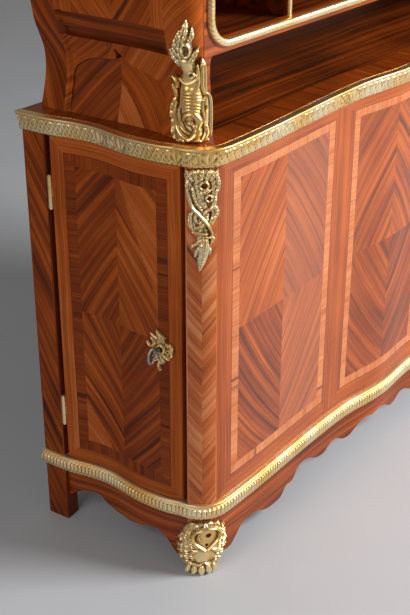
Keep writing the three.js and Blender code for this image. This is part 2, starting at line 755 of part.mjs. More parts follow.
function wallSection(s) {
  const levels = wallSwellShares.map(([up]) => mix(baseTop + seat, upperTop - seat, up));
  // round the corner the inner face stays on the plane where the face frame ends
  const inner = Math.min(upperWall, s.nx < 0 ? (s.x + upperFrontHalf) / s.nx : upperWall - facingThin);
  return [...levels.map((z) => [swell(s, z), z]), [-inner, levels.at(-1)], [-inner, levels[0]]];
}

function archShape() {
  const curve = archShares.map(([back, up]) => [archFront + archWidth * back, baseTop + archHeight * up]);
  const places = [[curve[0][0], baseTop - cutOver], ...curve, [curve.at(-1)[0], baseTop - cutOver]];
  return new THREE.Shape(places.map(([y, z]) => new THREE.Vector2(y, z)));
}

function endWall() {
  const from = runAtX(upper, upperFrontHalf);
  const to = upper.at(-1).run;
  const places = stations(upper, from, to);
  Object.assign(places[0], { nx: 0, ny: -1 });
  const wall = carried(places, wallSection);
  const arch = sidePrism(archShape(), wallOutside, -upperFrontHalf + upperWall - wallOutside);
  return cut(wall, arch, grooveCut(), channelCut());
}

function grooveCut() {
  const low = pigeonFloor + grooveLift;
  const high = low + grooveHeight;
  const places = stations(upper, runAtY(upper, grooveFront), runAtY(upper, grooveBack));
  return carried(places, (s) => {
    const face = swell(s, low);
    const sunk = grooveShares.map(([inward, up]) => [face - grooveSink * inward, mix(low, high, up)]);
    return [[face + cutOver, low], [face + cutOver, high], ...sunk];
  });
}

function channelCut() {
  const places = stations(upper, runAtY(upper, grooveBack + seat), runAtY(upper, grooveBack + channelWidth));
  const levels = wallSwellShares.map(([up]) => mix(baseTop, upperTop, up));
  const [low, high] = [baseTop - cutOver, upperTop + cutOver];
  const out = wallSwell + cutOver;
  return carried(places, (s) => {
    const sunk = levels.map((z) => [swell(s, z) - channelSink, z]);
    return [[out, low], [sunk[0][0], low], ...sunk, [sunk.at(-1)[0], high], [out, high]];
  });
}

// The arch's outline drawn in by a play, and without the sharp crown
function fieldShape() {
  const scale = 1 - 2 * fieldPlay / archWidth;
  const places = archShares.filter(([, up]) => up < 1).map(([back, up]) => [
    archFront + archWidth * mix(archMiddleShare, back, scale), baseTop + archHeight * up * scale]);
  const feet = [[places[0][0], baseTop - cutOver], ...places, [places.at(-1)[0], baseTop - cutOver]];
  return new THREE.Shape(feet.map(([y, z]) => new THREE.Vector2(y, z)));
}

// A board behind the wall, with a raised field that fills the arch to just under the wall's face
function recessedPanel() {
  const places = stations(upper, runAtY(upper, archFront - recessLap),
    runAtY(upper, archFront + archWidth + recessLap));
  const face = -upperWall - seat;
  const [low, high] = [baseTop + seat, pigeonFloor - seat];
  const levels = wallSwellShares.map(([up]) => mix(low, upperTop - seat, up)).filter((z) => z < high);
  const field = carried(places, (s) => {
    const raised = [...levels, high].map((z) => [swell(s, z) - fieldSink, z]);
    return [...raised, [face - recessThick / 2, high], [face - recessThick / 2, low]];
  });
  const arch = sidePrism(fieldShape(), wallOutside, -upperFrontHalf + upperWall - wallOutside);
  const raisedField = geometryOf(body(field).intersect(body(arch)));
  return join(carried(places, slab(face, face - recessThick, low, high)), raisedField);
}

function upperPlaces(out, front, back) {
  const side = stations(upper, runAtY(upper, upperSetback + upperCornerDepth), runAtY(upper, back))
    .map((s) => [s.x + s.nx * out, s.y + s.ny * out]);
  side.unshift([side[0][0], front]);
  side[side.length - 1][1] = back;
  return [...side, ...side.slice().reverse().map(([x, y]) => [-x, y])];
}

const upperInnerBack = () => upperBack - upperBackThick - boardFit;

function upperFloor() {
  const front = upperSetback + faceThick + seat;
  const places = upperPlaces(-upperWall - boardFit - seat, front, upperInnerBack() - seat);
  return board(places, pigeonFloor, pigeonFloor + upperFloorThick);
}

function upperBackPanel() {
  const s = stationAt(upper, runAtY(upper, upperInnerBack()));
  const half = -s.x - upperWall - boardFit;
  const [front, back] = [upperInnerBack(), upperInnerBack() + upperBackThick];
  return boxBetween([-half, front, baseTop + seat], [half, back, upperTop - seat]);
}

function upperTopBoard() {
  const half = stations(upper, 0, upper.at(-1).run);
  const rings = upperTopShares.map(([up, outShare]) => {
    const z = upperTop + upperTopThick * up;
    const out = upperTopOut * outShare;
    const sideOut = out + wallSwell * upperTopSwellShare;
    const left = half.map((s) => [s.x + s.nx * sideOut, Math.min(s.y + s.ny * out, upperBack), z]);
    return [...left, ...left.slice(1).reverse().map(([x, y]) => [-x, y, z])];
  });
  return skinned(rings, filled(rings[0]));
}

function roundedWindow(target, half, low, high, radius) {
  target.moveTo(-half + radius, low);
  target.lineTo(half - radius, low);
  target.absarc(half - radius, low + radius, radius, -Math.PI / 2, 0);
  target.lineTo(half, high - radius);
  target.absarc(half - radius, high - radius, radius, 0, Math.PI / 2);
  target.lineTo(-half + radius, high);
  target.absarc(-half + radius, high - radius, radius, Math.PI / 2, Math.PI);
  target.lineTo(-half, low + radius);
  target.absarc(-half + radius, low + radius, radius, Math.PI, 1.5 * Math.PI);
  return target;
}

const opening = () => [openingHalf, pigeonFloor + openingSill, upperTop - openingHead];

function faceFrame() {
  const outer = upperFrontHalf - seat;
  const waist = legInner + legWaist;
  const shape = new THREE.Shape();
  const [low, neck] = [baseTop + seat, pigeonFloor - seat];
  shape.moveTo(-outer, low);
  shape.lineTo(-legInner, low);
  const [bend, hollow, shoulder] = legShares.map((up) => mix(low, neck, up));
  shape.bezierCurveTo(-legInner, bend, -waist, hollow, -waist, shoulder);
  shape.quadraticCurveTo(-waist, neck, -legInner, neck);
  shape.lineTo(legInner, neck);
  shape.quadraticCurveTo(waist, neck, waist, shoulder);
  shape.bezierCurveTo(waist, hollow, legInner, bend, legInner, low);
  shape.lineTo(outer, low);
  shape.lineTo(outer, upperTop - seat);
  shape.lineTo(-outer, upperTop - seat);
  shape.closePath();
  const [half, sill, head] = opening();
  shape.holes.push(roundedWindow(new THREE.Path(), half, sill, head, openingRadius));
  return frontPlate(shape, upperSetback, faceThick);
}

function openingMoulding() {
  const [half, sill, head] = opening();
  const grow = ringWidth - seat;
  const shape = roundedWindow(new THREE.Shape(), half + grow, sill - grow, head + grow, openingRadius + grow);
  const hole = new THREE.Path();
  shape.holes.push(roundedWindow(hole, half - seat, sill + seat, head - seat, openingRadius - seat));
  return frontPlate(shape, upperSetback - ringThick - seat, ringThick);
}

function divider() {
  return boxBetween([-dividerThick / 2, upperSetback + faceThick + seat, pigeonFloor + upperFloorThick + seat],
    [dividerThick / 2, upperInnerBack() - seat, upperTop - seat]);
}

// Assembly

add('base_top_board', board(boardPlaces(0, 0, baseDepth), caseTop, baseTop), veneer);
add('base_bottom_board', bottomBoard(), oak);
add('base_back_panel', backPanel(), oak);
addPair('corner_post', cornerPost(), veneer);
addPair('rear_stile', rearStile(), darkVeneer);
addPair('front_panel', frontPanel(stations(base, run.joint + seat / 2, run.postFront - seat)), veneer);
add('front_panel_centre', frontPanel(wholeStations(base, run.joint - seat / 2)), veneer);
add('front_apron', frontApron(), darkVeneer);
addPair('side_apron', sideApron(), darkVeneer);
add('partition', partition(), oak);
addPair('shelf', shelf(), oak);
add('top_edge_moulding', topMoulding(), gilt);
add('band_moulding', bandMoulding(), gilt);
addPair('door', doorLeaf(), veneer);
addPair('lock', lockCase(), steel);
addPair('lock_bolt', lockBolt(), steel);
addPair('strike_plate', strikePlate(), gilt);
add('key_left', key(), steel);
hinge('upper', caseTop - hingeInset - hingeLength);
hinge('lower', bandTop + hingeInset + hingeLength);

const cornerMiddle = (run.postFront + run.postSide) / 2;
addPair('corner_chute', reliefPatch(base, cornerMiddle, chuteWidth, caseTop - chuteTop, chuteHeight, chuteRelief,
  chuteShares, chuteFacets), gilt);
addPair('sabot', reliefPatch(base, cornerMiddle, sabotWidth, sabotHeight, sabotHeight, sabotRelief, sabotShares,
  sabotFacets), gilt);
const escutcheon = reliefPatch(base, keyStation().run, escutcheonWidth, keyHeight + escutcheonHeight / 2,
  escutcheonHeight, escutcheonRelief, escutcheonShares, chuteFacets);
const escutcheonOut = mountLift + mountEdge + escutcheonRelief;
addPair('escutcheon', cut(escutcheon, keyhole(keyholeRadius, -escutcheonOut - cutOver, cutOver)), gilt);

addPair('upper_end_wall', endWall(), veneer);
addPair('upper_recessed_panel', recessedPanel(), veneer);
add('upper_floor', upperFloor(), darkVeneer);
add('upper_back_panel', upperBackPanel(), oak);
add('upper_top_board', upperTopBoard(), veneer);
add('face_frame', faceFrame(), veneer);
add('opening_moulding', openingMoulding(), gilt);
for (let i = 0; i < dividerCount; i++) {
  const place = (i - (dividerCount - 1) / 2) * dividerPitch;
  add(`divider_${i + 1}`, divider().translate(place, 0, 0), darkVeneer);
}
const upperCornerMiddle = runAtX(upper, upperFrontHalf) + (upperCornerRadius + upperCornerDepth) / 2;
const overSwell = (s, z) => Math.max(0, swell(s, z - mountReach), swell(s, z), swell(s, z + mountReach));
addPair('upper_chute', reliefPatch(upper, upperCornerMiddle, upperChuteWidth, baseTop + seat + upperChuteHeight,
  upperChuteHeight, upperChuteRelief, upperChuteShares, chuteFacets, overSwell), gilt);

// The origin is under the middle of the whole, on the floor
const bounds = new THREE.Box3().setFromObject(cabinet);
cabinet.position.y = -(bounds.min.y + bounds.max.y) / 2;

export default cabinet;
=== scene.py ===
"""A serpentine filing cabinet with a pigeonhole case: its looks, made round its CAD frame.

Metres. +Z is up, the curved front faces -Y, and the left end is at -X. A place on the cabinet's face is
given by its run, the length along the plan outline from the mirror plane (positive to the left), its level
z, and out, its distance outwards from the face.
"""

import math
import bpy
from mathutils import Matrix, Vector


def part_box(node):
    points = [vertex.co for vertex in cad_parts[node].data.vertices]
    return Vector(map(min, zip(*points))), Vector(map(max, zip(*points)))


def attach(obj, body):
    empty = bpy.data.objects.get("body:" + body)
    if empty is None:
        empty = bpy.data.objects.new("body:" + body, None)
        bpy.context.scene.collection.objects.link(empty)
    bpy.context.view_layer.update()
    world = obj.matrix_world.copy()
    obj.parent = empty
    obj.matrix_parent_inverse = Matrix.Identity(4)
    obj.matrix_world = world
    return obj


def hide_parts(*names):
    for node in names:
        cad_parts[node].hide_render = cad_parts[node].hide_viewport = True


bl_info = {
    "name": "Serpentine filing cabinet",
    "version": (1, 0, 0),
    "blender": (4, 5, 0),
    "location": "View3D > Sidebar > Cabinet",
    "description": "Makes the veneered cabinet, its gilt mounts and its studio round the CAD frame",
    "category": "Object",
}

import bmesh
import bpy
import numpy as np
from mathutils import Matrix, Vector

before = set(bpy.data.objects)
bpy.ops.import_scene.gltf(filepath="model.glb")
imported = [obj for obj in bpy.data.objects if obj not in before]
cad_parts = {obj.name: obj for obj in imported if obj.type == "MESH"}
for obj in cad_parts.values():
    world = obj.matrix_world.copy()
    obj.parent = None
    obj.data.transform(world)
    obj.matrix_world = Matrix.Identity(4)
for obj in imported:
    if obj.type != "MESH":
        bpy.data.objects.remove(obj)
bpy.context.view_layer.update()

# Plan of the base and of the upper section, as in the CAD
FRONT_HALF = 0.494
CORNER = 0.050
DEPTH = 0.343
VALLEY = 0.120
VALLEY_DEPTH = 0.019
CENTRE_SETBACK = 0.0095
FLARE = 0.042
FLARE_SHARES = (
    (0, 0), (0.09, 0.24), (0.25, 0.4), (0.37, 0.39), (0.5, 0.34), (0.64, 0.48), (0.81, 0.82), (1, 1))
UPPER_HALF = 0.504
UPPER_SETBACK = 0.033
UPPER_CORNER = 0.022
UPPER_CORNER_DEPTH = 0.036
UPPER_FLARE = 0.024
UPPER_FLARE_START = 0.110
UPPER_BACK = 0.330
SPACING = 0.001
END_TURN = 0.024

# Levels and the plan's shift, from the frame
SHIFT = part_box("base_top_board")[0].y
CASE_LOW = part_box("base_bottom_board")[1].z
CASE_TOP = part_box("base_top_board")[0].z
BASE_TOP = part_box("base_top_board")[1].z
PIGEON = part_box("upper_floor")[0].z
FLOOR_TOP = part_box("upper_floor")[1].z
UPPER_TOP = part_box("upper_top_board")[0].z
ALL_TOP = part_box("upper_top_board")[1].z
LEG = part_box("band_moulding")[0].z

# Boards and doors
SEAT = 0.0003
PANEL = 0.022
POST_DEEP = 0.044
POST_START = 0.014
POST_END = 0.012
STILE = 0.030
STILE_WIDE = 0.0445
JOINT = 0.173
DOOR_GAP = 0.008
STILE_GAP = 0.010
DOOR_LOW = 0.002
DOOR_HIGH = 0.0015
KEY_LEVEL = 0.433
KEY_SETBACK = 0.038
KEYHOLE = 0.0045
LOCK_SUNK = 0.010
LOCK_WIDE = 0.060
LOCK_TALL = 0.064
LOCK_LOW = KEY_LEVEL - LOCK_TALL * 0.35
LOCK_THICK = 0.014
POCKET_TIGHT = 0.0004

# The bolt's mortise in a post, in the lock's directions: how deep it starts and ends, how far it reaches past
# the door's edge and laps under it, its middle over the key, its half height and its play
MORTISE_NEAR = 0.0116
MORTISE_FAR = 0.0176
MORTISE_REACH = 0.015
MORTISE_LAP = 0.005
MORTISE_LIFT = 0.017
MORTISE_HALF = 0.01
MORTISE_PLAY = 0.001

# Aprons: their lower edges are tables of (share of the run, share of the height)
APRON_INSET = 0.008
APRON = 0.020
APRON_TOP = 0.1227
APRON_CENTRE = 0.066
FRONT_APRON_SHARES = (
    (0, 0.97), (0.06, 1.02), (0.1, 0.92), (0.145, 0.72), (0.18, 0.72), (0.23, 0.9), (0.265, 0.87),
    (0.3, 0.73), (0.36, 0.77), (0.41, 0.96), (0.455, 1.02), (0.49, 0.92), (0.515, 0.7), (0.565, 0.65),
    (0.59, 0.47), (0.635, 0.42), (0.69, 0.47), (0.76, 0.69), (0.81, 0.74), (0.845, 0.68), (0.875, 0.47),
    (0.9, 0.3), (0.95, 0.26), (1, 0.3))
SIDE_APRON_SHARES = (
    (0, 0.2), (0.08, 0.26), (0.12, 0.45), (0.18, 0.75), (0.23, 0.88), (0.3, 0.9), (0.37, 0.8),
    (0.47, 0.7), (0.52, 0.68), (0.56, 0.72), (0.6, 0.7), (0.66, 0.79), (0.7, 0.88), (0.75, 1.05),
    (0.82, 1.09), (0.88, 1.05), (0.92, 0.97), (1, 0.78))

# Upper section
WALL = 0.022
WALL_FRONT = WALL - 0.008
SWELL = 0.014
SWELL_SHARES = (
    (0, 0.28), (0.055, -0.25), (0.12, -0.72), (0.2, -0.6), (0.245, -0.07), (0.285, 0.43), (0.355, 0.9),
    (0.46, 1.1), (0.62, 1.05), (0.82, 0.75), (1, 0.5))
ARCH_FRONT = 0.093
ARCH_WIDE = 0.180
ARCH_TALL = 0.117
ARCH_SHARES = (
    (0, 0), (0.02, 0.12), (0.01, 0.32), (0.03, 0.49), (0.07, 0.61), (0.21, 0.7), (0.36, 0.77), (0.45, 0.87),
    (0.52, 1), (0.53, 0.83), (0.67, 0.8), (0.82, 0.75), (0.97, 0.58), (0.99, 0.3), (1, 0))
ARCH_CUSP = 8
GROOVE = (0.084, 0.271)
GROOVE_TALL = 0.017
GROOVE_LIFT = 0.001
GROOVE_SINK = 0.008
CHANNEL = (0.271, 0.280)
CHANNEL_SINK = 0.004
RECESS = 0.009
RECESS_LAP = 0.010
FIELD_SUNK = 0.0035
FIELD_PLAY = 0.0006
TOP_OUT = 0.018
OPENING_HALF = 0.484
OPENING_SILL = 0.019
OPENING_HEAD = 0.044
OPENING_ROUND = 0.036
RING_WIDE = 0.013
RING_THICK = 0.007
RING_ROOM = 0.0010
RING_LEAF = 0.0008
DIVIDER_PITCH = 0.192
DIVIDERS = 4
EDGE_HALF = 0.0045
EDGE_THICK = 0.004
EDGE_ROOM = 0.0008
EDGE_LEAF = 0.0006
WEAVE_PITCH = 0.0065
WEAVE_SLANT = 1.6

# The cast mounts: width and height
CHUTE_SIZE = (0.048, 0.168)
SABOT_SIZE = (0.096, 0.1055)
ESCUTCHEON_SIZE = (0.050, 0.074)
UPPER_CHUTE_SIZE = (0.062, 0.182)

# The photograph's view: a pinhole at a place, a pitch down and a plan direction
EYE = (-1.8085, -1.2517, 1.4187)
PITCH = math.radians(27.99)
HEADING = (0.759, 0.651)
SENSOR = 36.0
LENS = 72.06

# The studio: its lamps and what they aim at, and the floor's reach
KEY_PLACE = (1.5, -2.5, 2.2)
FILL_PLACE = (-2.8, -0.3, 2.0)
LAMP_SIZE = 1.6
AIM = (0, 0, 0.6)
FLOOR_REACH = 6

# Bodies, sides, and the degrees from which an edge looks sharp
CABINET = "cabinet"
DOORS = ("left_door", "right_door")
SIDES = ("left", "right")
CREASE = 35
GILT_CREASE = 60

# How much the grain of a matched leaf bends, per metre, and its degrees on the panels and doors
LEAF_CURVE = 0.55
PANEL_GRAIN = 58

# How far the base's top field reaches towards its corner, as a share of the half width
FIELD_CORNER = 0.93


# Curves and outlines

def ease(u):
    """Smooth step: u*u*(3 - 2u)."""
    return u * u * (3 - 2 * u)


def spline(points, count):
    """A Catmull-Rom curve through points, at count places an even parameter step apart."""
    p = np.asarray(points, float)
    t = np.linspace(0, len(p) - 1, count)
    k = np.minimum(t.astype(int), len(p) - 2)
    w = (t - k)[:, None]
    a, b, c, d = p[np.maximum(k - 1, 0)], p[k], p[k + 1], p[np.minimum(k + 2, len(p) - 1)]
    u, v = (c - a) / 2, (d - b) / 2
    return (2 * b - 2 * c + u + v) * w**3 + (3 * c - 3 * b - 2 * u - v) * w**2 + u * w + b


def flow(shares, u):
    """The value of a table of (place, value) shares at u, as a smooth cubic through its rows."""
    x, y = np.array(shares, float).T
    slope = np.gradient(y, x)
    u = np.clip(u, x[0], x[-1])
    k = np.clip(np.searchsorted(x, u) - 1, 0, len(x) - 2)
    h = x[k + 1] - x[k]
    w = (u - x[k]) / h
    rise = (2 * w**3 - 3 * w**2 + 1) * y[k] + (3 * w**2 - 2 * w**3) * y[k + 1]
    return rise + h * ((w**3 - 2 * w**2 + w) * slope[k] + (w**3 - w**2) * slope[k + 1])


def spaced(line, step):
    """A polyline's points, set an even step apart."""
    lengths = np.r_[0, np.cumsum(np.linalg.norm(np.diff(line, axis=0), axis=1))]
    at = np.linspace(0, lengths[-1], max(2, int(round(lengths[-1] / step)) + 1))
    return np.stack([np.interp(at, lengths, column) for column in line.T], 1)


def between(breaks, step):
    """Values from the lowest to the highest of breaks, at most a step apart, with one at each break."""
    marks = np.unique(np.round(breaks, 6))
    counts = np.ceil(np.diff(marks) / step - 1e-6).astype(int) + 1
    parts = [np.linspace(a, b, n)[:-1] for a, b, n in zip(marks, marks[1:], counts)]
    return np.concatenate(parts + [marks[-1:]])


class Outline:
    """A plan line from the mirror plane round the left corner to the back, with runs and outward normals."""

    def __init__(self, places, rounds):
        line = spaced(np.array(places, float), SPACING)
        for _ in range(rounds):
            line[1:-1] = (line[:-2] + 2 * line[1:-1] + line[2:]) / 4
        self.line = line
        self.runs = np.r_[0, np.cumsum(np.linalg.norm(np.diff(line, axis=0), axis=1))]
        self.back = self.runs[-1]
        tangent = np.gradient(line, self.runs, axis=0)
        normal = np.stack([-tangent[:, 1], tangent[:, 0]], 1)
        normal[0] = (0, -1)
        turned = np.clip((self.runs - self.back + END_TURN) / END_TURN, 0, 1)[:, None]
        normal = normal * (1 - turned) + np.array([-1.0, 0.0]) * turned
        self.normal = normal / np.linalg.norm(normal, axis=1)[:, None]

    def at_x(self, x):
        """The run where the line first is x from the mirror plane."""
        return self.runs[np.argmax(-self.line[:, 0] >= x)]

    def at_y(self, y):
        """The run where the line last is in front of a depth."""
        return self.runs[np.nonzero(self.line[:, 1] <= y + 1e-9)[0][-1]]

    def place(self, run, z, out):
        """point = line(|run|) + out * normal(|run|), with x mirrored where run is negative."""
        run, z, out = np.broadcast_arrays(np.asarray(run, float), z, out)
        size = np.abs(run)
        side = np.where(run < 0, -1.0, 1.0)
        x, y, nx, ny = (np.interp(size, self.runs, c) for c in (*self.line.T, *self.normal.T))
        return np.stack([side * (x + nx * out), y + ny * out + SHIFT, z], -1)

    def facing(self, run):
        """How squarely the face looks sideways: 0 on the front, 1 on the side."""
        return np.clip(-np.interp(np.abs(run), self.runs, self.normal[:, 0]), 0, 1)

    def depth(self, run):
        """The plan depth behind the corner's front face."""
        return np.interp(np.abs(run), self.runs, self.line[:, 1])


def base_places():
    """Front: valley depth * ease of the way in; corner: a quarter circle; side: a spline of flare shares."""
    x = np.linspace(0, FRONT_HALF, 200)
    outer = VALLEY_DEPTH * ease(np.clip((FRONT_HALF - x) / (FRONT_HALF - VALLEY), 0, 1))
    inner = CENTRE_SETBACK + (VALLEY_DEPTH - CENTRE_SETBACK) * ease(np.clip(x / VALLEY, 0, 1))
    front = np.c_[-x, np.where(x > VALLEY, outer, inner)]
    a = np.linspace(0, math.pi / 2, 40)[1:]
    corner = np.c_[-FRONT_HALF - CORNER * np.sin(a), CORNER * (1 - np.cos(a))]
    back, out = spline(FLARE_SHARES, 120)[1:].T
    side = np.c_[-FRONT_HALF - CORNER - FLARE * out, CORNER + (DEPTH - CORNER) * back]
    return np.r_[front, corner, side]


def upper_places():
    """Front: straight; corner: a quarter ellipse; side: straight, then flared by ease."""
    a = np.linspace(0, math.pi / 2, 40)
    corner = np.c_[-UPPER_HALF - UPPER_CORNER * np.sin(a),
                   UPPER_SETBACK + UPPER_CORNER_DEPTH * (1 - np.cos(a))]
    y = np.linspace(UPPER_SETBACK + UPPER_CORNER_DEPTH, UPPER_BACK, 120)[1:]
    out = UPPER_FLARE * ease(np.clip((y - UPPER_FLARE_START) / (UPPER_BACK - UPPER_FLARE_START), 0, 1))
    return np.r_[[[0, UPPER_SETBACK]], corner, np.c_[-UPPER_HALF - UPPER_CORNER - out, y]]


base = Outline(base_places(), 40)
upper = Outline(upper_places(), 8)

# Runs of the joints and mounts
JOINT_RUN = base.at_x(JOINT)
POST_FRONT = base.at_x(FRONT_HALF) + POST_START
POST_SIDE = base.at_y(CORNER) - POST_END
DOOR_FRONT = POST_SIDE + DOOR_GAP
STILE_RUN = base.back - STILE_WIDE
DOOR_BACK = STILE_RUN - STILE_GAP
KEY_RUN = DOOR_FRONT + KEY_SETBACK
POST_MIDDLE = (POST_FRONT + POST_SIDE) / 2
UPPER_MIDDLE = upper.at_x(UPPER_HALF) + (UPPER_CORNER + UPPER_CORNER_DEPTH) / 2

# The top moulding: its profile's length, the share of it that is carved, its rosettes' radius and runs
MOULDING_PROFILE = 0.0495
CARVED_END = 0.575
ROSETTE = 0.0105
PETAL_LIFT = 0.0036
STUD_LIFT = 0.0014
STUD = 0.0022
FAN_LIFT = 0.0031
PAST_CORNER = 0.014
ROSETTES = (POST_MIDDLE + PAST_CORNER, JOINT_RUN, (DOOR_FRONT + DOOR_BACK) / 2,
            (JOINT_RUN + POST_FRONT) / 2)


def swell(run, z):
    """How far the end wall bellies out: SWELL * facing^2 * share of the level."""
    return SWELL * upper.facing(run) ** 2 * flow(SWELL_SHARES, (z - BASE_TOP) / (UPPER_TOP - BASE_TOP))


def on_wall(run, z, out):
    """A place on the upper end wall, outside its belly."""
    return upper.place(run, z, out + swell(run, z))


# Forms

class Form:
    """Points and quads, with each quad corner's place in the grain, its tone, and each point's patina and
    painted shade.
    """

    def __init__(self, points, quads, grain=None, tone=None, patina_and_shade=None):
        self.points = np.asarray(points, float).reshape(-1, 3)
        self.quads = np.asarray(quads, int)
        count = len(self.quads)
        self.grain = np.zeros((count, 4, 2)) if grain is None else grain
        self.tone = np.tile((0.5, 0.0, 0.5), (count, 4, 1)) if tone is None else tone
        self.patina_and_shade = np.full(len(self.points), 0.5) if patina_and_shade is None else np.ravel(patina_and_shade)

    def mirrored(self):
        """x -> -x, with every quad turned round."""
        return Form(self.points * (-1, 1, 1), self.quads[:, ::-1], self.grain[:, ::-1], self.tone[:, ::-1],
                    self.patina_and_shade)

    def trimmed(self):
        """The same form without unused points."""
        used, index = np.unique(self.quads, return_inverse=True)
        return Form(self.points[used], index.reshape(-1, 4), self.grain, self.tone, self.patina_and_shade[used])

    def welded(self):
        """The same form with points at one place made one."""
        _, first, index = np.unique(np.round(self.points, 6), axis=0, return_index=True, return_inverse=True)
        quads = index.reshape(-1)[self.quads]
        return Form(self.points[first], quads, self.grain, self.tone, self.patina_and_shade[first])

    def thickened(self, back):
        """Closed: the sheet, its reversed copy at the back points, and a quad on every open edge."""
        count = len(self.points)
        a, b = self.quads, np.roll(self.quads, -1, axis=1)
        open_edge = ~np.isin(a * count + b, b * count + a)
        rows, corners = np.nonzero(open_edge)
        p, q = a[rows, corners], b[rows, corners]
        following = (corners + 1) % 4
        rim = np.stack([q, p, p + count, q + count], 1)
        deep = np.linalg.norm(self.points - back, axis=1)
        g_p, g_q = self.grain[rows, corners], self.grain[rows, following]
        off_p, off_q = (np.stack([np.zeros(len(p)), deep[i]], 1) for i in (p, q))
        rim_grain = np.stack([g_q, g_p, g_p + off_p, g_q + off_q], 1)
        rim_tone = np.repeat(self.tone[rows, corners][:, None], 4, 1)
        inner = self.quads[:, ::-1] + count
        return Form(np.r_[self.points, np.reshape(back, (-1, 3))], np.r_[self.quads, inner, rim],
                    np.r_[self.grain, self.grain[:, ::-1], rim_grain],
                    np.r_[self.tone, self.tone[:, ::-1], rim_tone], np.r_[self.patina_and_shade, self.patina_and_shade])


def joined(*forms):
    """Several forms as one."""
    starts = np.cumsum([0] + [len(f.points) for f in forms])
    return Form(np.concatenate([f.points for f in forms]),
                np.concatenate([f.quads + s for f, s in zip(forms, starts)]),
                np.concatenate([f.grain for f in forms]), np.concatenate([f.tone for f in forms]),
                np.concatenate([f.patina_and_shade for f in forms]))


def cells(rows, columns, kept=None, round_rows=False, round_columns=False):
    """The quads of a grid of points, of kept cells only, or closed round in either direction."""
    a = np.arange(rows * columns).reshape(rows, columns)
    if round_rows:
        a = np.r_[a, a[:1]]
    if round_columns:
        a = np.c_[a, a[:, :1]]
    quads = np.stack([a[:-1, :-1], a[1:, :-1], a[1:, 1:], a[:-1, 1:]], -1)
    return quads.reshape(-1, 4) if kept is None else quads[kept]


def fitted(s, z, inside):
    """Cells whose mean of inside is positive, with the points round them moved to where inside is 0:
    step = -inside * gradient / |gradient|^2."""
    kept = (inside[:-1, :-1] + inside[1:, :-1] + inside[1:, 1:] + inside[:-1, 1:]) > 0
    around = np.zeros(inside.shape, int)
    exist = np.zeros(inside.shape, int)
    for i in (0, 1):
        for j in (0, 1):
            window = np.s_[i:i + kept.shape[0], j:j + kept.shape[1]]
            around[window] += kept
            exist[window] += 1
    edge = (around > 0) & (around < exist)
    gs, gz = np.gradient(inside, s[:, 0], z[0])
    gz[:, [0, -1]] = 0
    gs[[0, -1]] = 0
    size = np.maximum(gs**2 + gz**2, 1e-3)
    limit_s = 0.75 * np.gradient(s[:, 0])[:, None]
    limit_z = 0.75 * np.gradient(z[0])[None]
    new_s = s + np.where(edge, np.clip(-inside * gs / size, -limit_s, limit_s), 0)
    new_z = z + np.where(edge, np.clip(-inside * gz / size, -limit_z, limit_z), 0)
    return kept, new_s, new_z, edge


def blurred(field, rounds):
    """A field averaged with its neighbours, over and over."""
    for _ in range(rounds):
        wide = np.pad(field, 1, mode="edge")
        field = (wide[:-2, 1:-1] + wide[2:, 1:-1] + wide[1:-1, :-2] + wide[1:-1, 2:] + 4 * field) / 8
    return field


def cavity(height, rounds, strength):
    """Patina gathers where the height is under its surroundings: 0.5 + strength * (blurred - height)."""
    return np.clip(0.5 + strength * (blurred(height, rounds) - height), 0, 1)


# Veneer leaves

